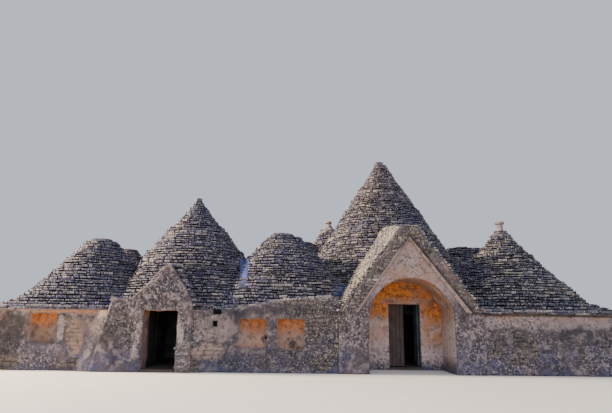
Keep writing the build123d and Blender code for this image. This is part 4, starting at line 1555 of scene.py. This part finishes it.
@dataclass(frozen=True)
class Hollow:
    """Niche or hole in a wall's face, between two distances along it and two heights.

    deep is how far it goes in; ochre, dark and dim are how strong its ochre, the painted shade all through it
    and the painted shade of its lower part are; blots are the places and sizes of the spots where its plaster
    is gone.
    """

    low: float
    high: float
    bottom: float
    top: float
    deep: float
    ochre: float = 1.0
    dark: float = 0.0
    dim: float = 0.0
    blots: tuple[tuple[float, float, float], ...] = ()


@dataclass(frozen=True)
class Patch:
    """Soft-edged oval of a wall's face, and how strongly it is limed, ochred, stained or bare of plaster."""

    middle: tuple[float, float]
    half: tuple[float, float]
    light: float = 0.0
    ochre: float = 0.0
    shade: float = 0.0
    bare: float = 0.0

    def share(self, s: Array, z: Array) -> Array:
        """How much of the patch there is at each place: 1 in its middle, 0 outside its ragged edge."""
        away = np.hypot((s - self.middle[0]) / self.half[0], (z - self.middle[1]) / self.half[1])
        return smooth_step(1.1 - away + 1.1 * (fractal(s, z, 0.25, 77, 4) - 0.5), 0.0, 0.3)


@dataclass
class WallFace:
    """Face of a wall on its grid: how far it stands out, its stones and the shares that its finish reads."""

    s: Array
    z: Array
    out: Array
    row: Array
    block: Array
    groove: Array
    tone: Array
    bare: Array
    ochre: Array
    shade: Array
    light: Array

    def lay(self, patch: Patch) -> None:
        """Limes, ochres, stains or bares an oval of the face.

        Args:
            patch: the oval.
        """
        share = patch.share(self.s, self.z)
        self.out = self.out - share * patch.bare * 0.02 * (1 - self.groove)
        self.bare = np.maximum(self.bare, share * patch.bare)
        paler = 0.6 + 0.4 * value_noise(self.row * 2.3, self.block, 1.0, 9)
        stone = 1 - patch.bare * (1 - self.groove * paler)
        self.light = np.maximum(self.light, share * patch.light * stone)
        self.ochre = np.maximum(self.ochre * (1 - share * patch.shade), share * patch.ochre)
        self.shade = np.maximum(self.shade, share * patch.shade)

    def sink(self, hollow: Hollow, seed: int) -> None:
        """Sinks a hollow with a ragged edge, ochre above, lime below, a painted shadow under its head,
        painted shade all through a dark hole, and dark spots where its plaster is gone, partly broken plaster
        and partly painted shade.

        Args:
            hollow: the niche or hole.
            seed: picks the noise.
        """
        s, z = self.s, self.z
        ragged = 0.05 * (fractal(s, z, 0.16, seed + 21, 3) - 0.5)
        edge = np.minimum(np.minimum(s - hollow.low, hollow.high - s),
                          np.minimum(z - hollow.bottom, hollow.top - z)) - 0.02 + ragged * 0.6
        inside = smooth_step(edge, -0.012, 0.014)
        rim = smooth_step(edge, -0.14, -0.01) * (1 - inside)
        depth = hollow.deep - 0.022 + 0.012 * fractal(s, z, 0.1, seed + 30, 3)
        gone = 0 * z
        for x, height, size in hollow.blots:
            away = np.hypot(s - x, z - height) / size + 1.2 * (fractal(s, z, 0.12, seed + 41, 3) - 0.5)
            gone = np.maximum(gone, smooth_step(away, 1.05, 0.85))
        self.out = self.out * (1 - inside) - inside * (depth - 0.04 * gone)
        upper = smooth_step(z + 0.3 * (fractal(s, z, 0.3, seed + 50) - 0.5), hollow.bottom + 0.35,
                            hollow.top - 0.12)
        under_head = smooth_step(z, hollow.top - 0.1, hollow.top)
        self.ochre = np.maximum(self.ochre * (1 - inside), hollow.ochre * (0.34 + 0.56 * upper) * inside)
        self.light = np.maximum(self.light, 0.7 * inside * (1 - upper) * hollow.ochre)
        self.bare = np.maximum(self.bare * (1 - inside), rim * 0.25)
        # Painted shade: a shadow under the head, the dark all through a hole, the dark of the broken spots,
        # which are partly real, and shade over the lower part.
        soot = np.maximum(0.45 * inside * under_head * hollow.ochre,
                          inside * np.maximum(hollow.dark, 0.72 * gone))
        self.shade = np.maximum(self.shade, np.maximum(soot, inside * hollow.dim * (1 - 0.9 * upper)))


@dataclass
class WallSkin:
    """Plastered face of one wall: a height field over its length and height.

    The face stands out by a slow noise and a fine one, and each hollow sinks it by its depth, along an edge
    that the noise wears ragged. Where the plaster is gone, the field drops to stones divided by joints.
    """

    name: str
    start: tuple[float, float]
    along: tuple[float, float]
    length: float
    step: float
    finishes: Finishes
    hollows: tuple[Hollow, ...] = ()
    top: Callable[[Array], Array] | None = None
    proud: float = 0.03
    bare_share: float = 0.3
    seed: int = 700
    swell: float = 0.03
    thick: float = 0.06
    warmth: float = 0.0
    warm_from: float = 1.45
    lean: tuple[float, float, float] = (8.0, 9.0, 0.0)
    meet: tuple[float, float, float] = (0.0, 0.0, 0.0)
    dark_mottling: float = 0.0
    patches: tuple[Patch, ...] = ()
    course: float = 0.13
    block: float = 0.27

    def build(self) -> bpy.types.Object:
        """Works out the field and closes it behind.

        Returns:
            The skin.
        """
        columns = int(self.length / self.step) + 1
        s = np.linspace(0, self.length, columns)
        top = self.top(s) if self.top else np.full(columns, PLATE_Z + 0.004)
        rows = int(top.max() / self.step) + 1
        z = np.linspace(0, 1, rows)[:, None] * top[None, :]
        face = self.plaster(np.broadcast_to(s, z.shape), z)
        for patch in self.patches:
            face.lay(patch)
        for hollow in self.hollows:
            face.sink(hollow, self.seed)
        points, faces = closed_sheet(self.placed(face, face.out),
                                     self.placed(face, np.minimum(face.out - self.thick, -0.02)))
        shares = {"ochre": face.ochre, "bare": face.bare, "tone": face.tone, "shade": face.shade,
                  "light": face.light}
        return new_piece(self.name, points, faces, self.finishes.plaster, smooth=True,
                         attributes={key: np.tile(share.ravel(), 2) for key, share in shares.items()})

    def placed(self, face: WallFace, out: Array) -> Array:
        """Points of the face's grid at these distances outwards from the wall's line."""
        (x0, y0), (ax, ay) = self.start, self.along
        return np.stack([x0 + ax * face.s + ay * out, y0 + ay * face.s - ax * out, face.z], axis=2)

    def plaster(self, s: Array, z: Array) -> WallFace:
        """Face before its patches and hollows.

        Its plaster is gone where a noise is high, down to stones in wandering courses; it leans in with
        height and swells where it meets the next part; ochre lies in its upper part and darker mottling at
        its waist.

        Args:
            s: distances along the wall.
            z: heights.

        Returns:
            The face.
        """
        seed = self.seed
        swell = self.swell * (fractal(s, z, 0.9, seed) - 0.3)
        swell = swell + 0.012 * (fractal(s, z, 0.16, seed + 4, 3) - 0.5)
        bare = smooth_step(fractal(s, z, 0.75, seed + 8) + 0.14 * fractal(s, z, 0.1, seed + 2, 2),
                           0.78 - 0.3 * self.bare_share, 0.84 - 0.3 * self.bare_share)
        warp = 0.5 * fractal(s, z, 0.35, seed + 3, 3)
        warp = warp + 0.45 * (fractal(s, z, 0.28, seed + 8, 3) - 0.5)
        row = np.floor(z / self.course + warp)
        course = (z / self.course + warp) - row
        brick = s / self.block + 0.5 * (row % 2) + 0.3 * np.sin(row * 1.7 + seed)
        brick = brick + fractal(s, z, 0.25, seed + 5, 3)
        block = np.floor(brick)
        across = brick - block
        groove = smooth_step(np.minimum(np.minimum(course, 1 - course) * self.course,
                                        np.minimum(across, 1 - across) * self.block), 0.0, 0.025)
        out = self.proud + swell - bare * (0.012 + 0.014 * (1 - groove))
        lean_from, lean_to, lean_by = self.lean
        edge = self.meet[1] + (self.meet[2] - self.meet[1]) * z / PLATE_Z
        out = out - lean_by * smooth_step(z, lean_from, lean_to)
        out = out + self.meet[0] * smooth_step(np.abs(s - edge), 0.6, 0)
        ochre = smooth_step(z, self.warm_from, PLATE_Z) * self.warmth
        waist = smooth_step(z, 0.2, 0.6) * smooth_step(z, 1.75, 1.2)
        return WallFace(
            s, z, out, row, block, groove, bare=bare, light=0 * z,
            tone=groove * (0.55 + 0.45 * value_noise(row * 3.1, block, 1.0, seed + 6)),
            ochre=ochre * smooth_step(fractal(s, z, 0.6, seed + 12), 0.25, 0.55),
            shade=self.dark_mottling * waist * smooth_step(fractal(s, z, 0.6, seed + 60), 0.4, 0.6))


def parapet_top(s: Array) -> Array:
    """Uneven top of the middle wall, from its outline and the stones laid along it.

    Args:
        s: distances along the wall's face.

    Returns:
        Heights.
    """
    line = np.array(PARAPET)
    x = s + line[0, 0] - 0.012
    height = np.interp(x, line[:, 0], line[:, 1])
    return height + 0.035 * (fractal(x, 0 * x, 0.3, 202, 3) - 0.4)


def lower_skin_top(s: Array) -> Array:
    """Uneven top of the proud lower coursing beside the left portal."""
    return 1.8 + 0.03 * (fractal(s, 0 * s, 0.3, 19, 3) - 0.5)


@dataclass
class Walls:
    """Front, end and rear walls with their niches, holes and top stones."""

    finishes: Finishes

    def build(self) -> None:
        """Builds each face and gives the walls behind their finish."""
        left_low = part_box("left_front_wall")[0].x
        portal_foot = PORTAL_OUTER[0][0] - left_low
        niche = Hollow(-8.62 - left_low, -7.72 - left_low, 0.79, 1.73, 0.18, 1.1, dim=0.42,
                       blots=tuple((x - left_low, z, size) for x, z, size in
                                   ((-8.42, 1.24, 0.07), (-8.5, 1.07, 0.06), (-8.36, 1.65, 0.05))))
        left = (Patch((-7.6 - left_low, 1.83), (2.0, 0.1), light=0.7, ochre=0.5),
                Patch((-9.2 - left_low, 1.2), (0.6, 0.7), shade=0.6),
                Patch((-7.58 - left_low, 1.3), (0.12, 0.4), light=0.6))
        WallSkin("left_wall_face", (left_low, FRONT_Y), (1, 0), portal_foot + 0.6, 0.035, self.finishes,
                 (niche,), seed=700, warmth=0.3, warm_from=0.9, patches=left).build()
        lower = (Patch((0.87, 1.45), (0.4, 0.42), light=0.2, shade=0.12),
                 Patch((0.8, 1.76), (1.3, 0.1), light=0.6, ochre=0.3),
                 Patch((0.32, 1.0), (0.3, 0.45), light=0.4, ochre=0.2, bare=0.9))
        run = portal_foot - (LOWER_SKIN_X - left_low)
        WallSkin("left_wall_lower_skin", (LOWER_SKIN_X, FRONT_Y - 0.06), (1, 0), run + 0.5, 0.03,
                 self.finishes, top=lower_skin_top, seed=730, proud=0.02, warmth=0.15, warm_from=0.7,
                 lean=(1.5, 1.8, 0.07), patches=lower, meet=(0.2, run + 0.03, run + 0.46)).build()
        shift = 3.47
        niches = (Hollow(-2.07 + shift, -1.2 + shift, 0.71, 1.63, 0.18,
                         blots=((2.16, 1.02, 0.05), (2.2, 0.95, 0.04))),
                  Hollow(-0.87 + shift, 0.02 + shift, 0.65, 1.64, 0.18, dim=0.28,
                         blots=((3.12, 0.86, 0.11), (2.98, 1.0, 0.05), (3.27, 0.75, 0.08),
                                (3.0, 1.2, 0.04))),
                  # The last three are two holes and the parapet's notch, filled with painted shade.
                  Hollow(-2.9 + shift, -2.7 + shift, 1.34, 1.56, 0.25, ochre=0.0, dark=1.0),
                  Hollow(-1.27 + shift, -1.12 + shift, 0.97, 1.12, 0.24, ochre=0.0, dark=1.0),
                  Hollow(-2.88 + shift, -2.58 + shift, 1.72, 2.3, 0.008, ochre=0.0, dark=1.0))
        worn = (Patch((0.45, 0.6), (0.5, 0.26), light=0.8, ochre=0.1, bare=0.9),
                Patch((0.7, 1.3), (0.6, 0.4), light=0.4),
                Patch((3.0, 1.85), (1.6, 0.2), shade=0.35), Patch((4.0, 1.2), (0.5, 0.6), shade=0.25),
                Patch((1.1, 1.35), (1.2, 0.6), shade=0.22), Patch((2.2, 0.4), (2.4, 0.34), shade=0.28))
        WallSkin("middle_wall_face", (MIDDLE_FACE_X, FRONT_Y), (1, 0), 1.08 - MIDDLE_FACE_X, 0.03,
                 self.finishes, niches, top=parapet_top, seed=760, bare_share=0.4, meet=(0.22, 0.0, 0.0),
                 patches=worn).build()
        right_low = PORCH_X + PORCH_HALF
        WallSkin("right_wall_face", (right_low, FRONT_Y), (1, 0), RIGHT_X - right_low, 0.045, self.finishes,
                 seed=790, bare_share=0.35, warmth=0.35, dark_mottling=0.3,
                 patches=(Patch((2.5, 1.6), (3.5, 0.22), light=0.45),)).build()
        depth, length = BACK_Y - FRONT_Y, RIGHT_X - LEFT_X
        for name, start, along, run, step, seed, bare_share in (
                ("right_end_face", (RIGHT_X, FRONT_Y), (0, 1), depth, 0.12, 820, 0.6),
                ("left_end_face", (LEFT_X, BACK_Y), (0, -1), depth, 0.12, 850, 0.6),
                ("back_face", (RIGHT_X, BACK_Y), (-1, 0), length, 0.14, 880, 0.7)):
            WallSkin(name, start, along, run, step, self.finishes, seed=seed, bare_share=bare_share).build()
        self.top_stones()
        dress(self.finishes.inside, "left_front_wall", "middle_wall", "right_front_wall", "left_end_wall",
              "right_end_wall", "back_wall", "left_partitions", "left_spine_wall", "rear_partitions",
              "main_room_left_wall", "main_room_rear_wall", "main_room_right_wall", "right_spine_wall")
        dress(self.finishes.floor, "main_floor", "left_floor")

    def top_stones(self) -> None:
        """Rough stones along the parapet, the slab laid under its notch and a near-black plate of painted
        shadow in the notch.
        """
        rng = np.random.default_rng(911)
        x = np.arange(-3.4, 1.0, 0.17) + rng.uniform(-0.05, 0.05, 26)
        x = x[(x < -2.9) | (x > -2.55)]
        n = len(x)
        pile = StonePile()
        for y in (FRONT_Y + 0.1, FRONT_Y + 0.29):
            top = parapet_top(x - MIDDLE_FACE_X)
            centres = np.stack([x + rng.uniform(-0.05, 0.05, n), np.full(n, y), top + 0.01], axis=1)
            sizes = mixed(rng, n, (0.16, 0.32), (0.17, 0.26), (0.06, 0.12))
            pile.add(tumbled(centres, sizes, rng.uniform(-0.3, 0.3, n), rng, 0.12), rng.uniform(0.3, 0.9, n))
        level = np.array([0.0])
        slab = tumbled(np.array([[-2.76, FRONT_Y + 0.1, 1.665]]), np.array([[0.36, 0.37, 0.08]]), level, rng,
                       0.02)
        pile.add(slab, np.array([0.8]))
        pile.build("parapet_stones", self.finishes.slabs)
        # Painted shadow: a thin near-black plate stands in the notch.
        points, faces = tumbled(np.array([[-2.73, FRONT_Y - 0.008, 1.8]]), np.array([[0.27, 0.034, 0.15]]),
                                level, rng, 0.0, 0.004)
        new_piece("notch_hollow", points, faces, self.finishes.hollow)


@dataclass
class Limewash:
    """Strip of limewash brushed over the slabs where two cones meet.

    Its face is a height field over X and Z: the nearer of the two cones' fronts, moved out by a small lift
    and a noise, and moved in along each course's joint. Its edges are ragged by another noise.
    """

    name: str
    cones: tuple[str, str]
    middle: tuple[float, float]
    width: tuple[float, float]
    bottom: float
    top: float
    material: Material
    lift: float = 0.07
    course: float = 0.098

    def build(self) -> None:
        """Lays the strip, given its middle and width at its bottom and its top."""
        rows, columns = 110, 19
        rise = np.linspace(0, 1, rows)[:, None]
        across = np.linspace(-0.5, 0.5, columns)[None, :]
        z = self.bottom + (self.top - self.bottom) * rise + 0 * across
        ragged = 0.7 + 0.6 * fractal(z, across * 0 + np.sign(across), 0.14, 71, 3)
        x = np.interp(rise, (0, 1), self.middle) + across * np.interp(rise, (0, 1), self.width) * ragged
        y = np.minimum(*(CONE[name].front(x, z) for name in self.cones))
        y = y - self.lift - 0.03 * fractal(x, z, 0.12, 74, 3) * (1 - 4 * across ** 2)
        y = y + 0.03 * np.abs(np.sin(math.pi * z / self.course)) ** 6
        front = np.stack([x, y, z], axis=2)
        points, faces = closed_sheet(front, front + np.array([0, 0.15, 0]))
        # Painted shade: its tone darkens the strip towards its foot, where the finish reads it.
        new_piece(self.name, points, faces, self.material, smooth=True,
                  attributes={"tone": smooth_step(points[:, 2], 3.15, 2.65)})


@dataclass
class Pinnacle:
    """Whitewashed pinnacle: flared foot, neck and disc in one profile, turned about its axis unevenly."""

    name: str
    cone: str
    finishes: Finishes
    wear: float = 0.012
    seed: int = 950

    def build(self) -> bpy.types.Object:
        """Turns the profile.

        Returns:
            The pinnacle.
        """
        cone = CONE[self.cone]
        radius = TIER_ROUNDING * cone.tiers[-1][1] - cone.worn
        below = float(cone.section(cone.top - 0.22)[0]) - cone.worn
        keys = [(below + 0.035, -0.22), (radius + 0.035, -0.04), (0.8 * radius, 0.09), (0.128, 0.22),
                (0.124, 0.26), (0.165, 0.285), (0.178, 0.305), (0.176, 0.355), (0.16, 0.378), (0.1, 0.398),
                (0.0, 0.405)]
        profile = spread(keys, (10, 5, 6, 2, 3, 3, 5, 3, 4, 4))
        turns = 48
        angle = np.arange(turns) * 2 * math.pi / turns
        rows = len(profile) - 1
        r, z = profile[:-1, :1], profile[:-1, 1:]
        noise = value_noise(np.cos(angle) * 2 + 9, np.sin(angle) * 2 + z * 6, 0.7, self.seed)
        uneven = 1 + self.wear * 8 * (noise - 0.5)
        x = cone.x + r * uneven * np.cos(angle)
        y = FRONT_Y + cone.depth + r * uneven * np.sin(angle)
        points = np.stack([x, y, cone.top + z + 0 * angle], axis=2).reshape(-1, 3)
        tip = np.array([[cone.x, FRONT_Y + cone.depth, cone.top + profile[-1, 1]]])
        faces = grid_faces(rows, turns, close_rows=True).tolist()
        last = (rows - 1) * turns
        faces += [[last + i, last + (i + 1) % turns, rows * turns] for i in range(turns)]
        faces.append(list(range(turns))[::-1])
        return new_piece(self.name, np.concatenate([points, tip]), faces, self.finishes.pinnacle,
                         smooth=True)


@dataclass
class Caps:
    """Cap stones of the plain cones and the pinnacles of the two whitewashed ones."""

    finishes: Finishes

    def build(self) -> None:
        """Builds both kinds."""
        for name, cone, seed in (("right_pinnacle", "right", 950), ("rear_pinnacle", "rear_spire", 970)):
            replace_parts(Pinnacle(name, cone, self.finishes, seed=seed).build(), "pinnacles")
        rng = np.random.default_rng(990)
        places = (("main", 0.0, -0.03, 0.44, 0.38, 0.09, 0.0), ("main", -0.07, 0.09, 0.31, 0.27, 0.15, 0.3),
                  ("portal", 0.0, 0.04, 0.21, 0.2, 0.15, 0.2),
                  ("middle", -0.07, -0.05, 0.42, 0.42, 0.08, -0.1),
                  ("middle", -0.04, -0.01, 0.34, 0.3, 0.05, 0.3))
        centres = np.array([[CONE[n].x + dx, FRONT_Y + CONE[n].depth, CONE[n].top + dz]
                            for n, dx, dz, *_ in places])
        sizes = np.array([[a, b, c] for *_, a, b, c, _ in places])
        turns = np.array([turn for *_, turn in places])
        pile = StonePile()
        pile.add(tumbled(centres, sizes, turns, rng, 0.06, 0.03), np.array([0.45, 0.5, 0.55, 0.15, 0.3]),
                 np.array([0.5, 0.5, 0.1, 0.0, 0.0]))
        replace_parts(pile.build("cap_slabs", self.finishes.slabs), "cap_stones")


class Side(Enum):
    """Which leaf of the double door."""

    LEFT = -1
    RIGHT = 1


@dataclass
class DoorLeaf:
    """Planks and iron of one leaf at its place at rest, closed or open as the CAD leaf stands.

    The planks lie side by side along the CAD leaf's length, from base in the direction go, and fill its box.
    """

    side: Side
    finishes: Finishes
    planks: int = 4
    joint: float = 0.007

    def build(self) -> None:
        """Builds the planks and the iron of this leaf."""
        word = self.side.name.lower()
        leaf = f"door_{word}_leaf"
        low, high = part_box(leaf)
        size = high - low
        closed = size.x > size.y
        if closed:
            base, go, face = (low.x, low.y, 0), (1, 0, 0), (0, -1, 0)
            width, thick = size.x, size.y
        else:
            base, go, face = (low.x, high.y, 0), (0, -1, 0), (-1, 0, 0)
            width, thick = size.y, size.x
        rng = np.random.default_rng(1200 + self.side.value)
        n = self.planks
        board = width / n
        starts = np.arange(n)[:, None] * board + self.joint / 2
        ends = (np.arange(n)[:, None] + 1) * board - self.joint / 2
        faces_out = np.tile(np.array(face, float), (n, 1))
        points, faces = stones(np.array(base) + np.array(go) * starts, np.array(base) + np.array(go) * ends,
                               faces_out, faces_out, UP, np.full(n, low.z) + rng.uniform(0.0, 0.012, n),
                               np.full(n, high.z), np.full(n, 0.0), np.full(n, thick), 0.004, rng)
        finish = self.finishes.wood if closed else self.finishes.green_wood
        piece = new_piece(f"{leaf}_planks", points, faces, finish, body=f"{word}_leaf")
        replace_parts(piece, leaf)
        dress(self.finishes.iron, f"door_{word}_straps")


@dataclass
class Studio:
    """Plain floor, camera at the photograph's angle and soft light."""

    finishes: Finishes
    lens: float = 30.5
    eye: tuple[float, float, float] = (0.0, FRONT_Y - 16.6, 1.5)
    tilt: float = 12.66
    roll: float = 0.65
    reach: float = 260.0

    def build(self) -> None:
        """Sets the floor, the camera and the lights."""
        far = self.reach
        mesh = bpy.data.meshes.new("studio_floor")
        mesh.from_pydata([(-far, -far, 0), (far, -far, 0), (far, far, 0), (-far, far, 0)], [], [(0, 1, 2, 3)])
        floor = put("studio_floor", mesh)
        floor.data.materials.append(self.finishes.stage)
        floor.location.z = -0.004
        camera = put("camera", bpy.data.cameras.new("camera"))
        camera.data.lens = self.lens
        camera.data.sensor_width = 36.0
        camera.data.clip_end = 600
        turn = Matrix.Rotation(math.radians(90 + self.tilt), 4, "X")
        turn = turn @ Matrix.Rotation(math.radians(self.roll), 4, "Z")
        camera.matrix_world = Matrix.Translation(self.eye) @ turn
        bpy.context.scene.camera = camera
        world = bpy.data.worlds.new("studio")
        bpy.context.scene.world = world
        world.use_nodes = True
        background = world.node_tree.nodes["Background"].inputs
        background["Color"].default_value, background["Strength"].default_value = linear("#e2e8f4"), 0.85
        self.lamp("key", (-28, -4, 17), 7, 37000, "#ffe6c4")
        self.lamp("fill", (2, -30, 14), 24, 3500, "#e3e6ff")

    def lamp(self, name: str, place: tuple[float, float, float], size: float, power: float,
             colour: str) -> None:
        """Adds a large soft lamp that faces the house.

        Args:
            name: of the lamp.
            place: where it stands.
            size: width in metres.
            power: in watts.
            colour: hex code.
        """
        light = bpy.data.lights.new(name, "AREA")
        light.shape = "DISK"
        light.size = size
        light.energy = power
        light.color = linear(colour)[:3]
        lamp = put(name, light)
        lamp.location = place
        lamp.rotation_euler = (Vector((0, 0, 2.5)) - Vector(place)).to_track_quat("-Z", "Y").to_euler()


def main() -> None:
    """Builds the house's looks in order: roofs, walls, portal, porch, caps, door and studio."""
    finishes = Finishes()
    for number, cone in enumerate(CONES):
        ConeRoof(cone, finishes, np.random.default_rng(ConeRoof.seed + number)).build()
    RoofFill(finishes).build()
    Limewash("middle_valley_limewash", ("portal", "middle"), (-2.09, -2.17), (0.32, 0.36), 2.62, 3.75,
             finishes.whitewash).build()
    Limewash("pan_limewash", ("middle", "main"), (1.16, 1.2), (0.46, 0.32), 2.42, 2.88,
             finishes.blue_wash).build()
    Walls(finishes).build()
    LeftPortal(finishes).build()
    Porch(finishes).build()
    Caps(finishes).build()
    for side in Side:
        DoorLeaf(side, finishes).build()
    dress(finishes.iron, "hinge_pins")
    Studio(finishes).build()


if __name__ == "__main__":
    main()
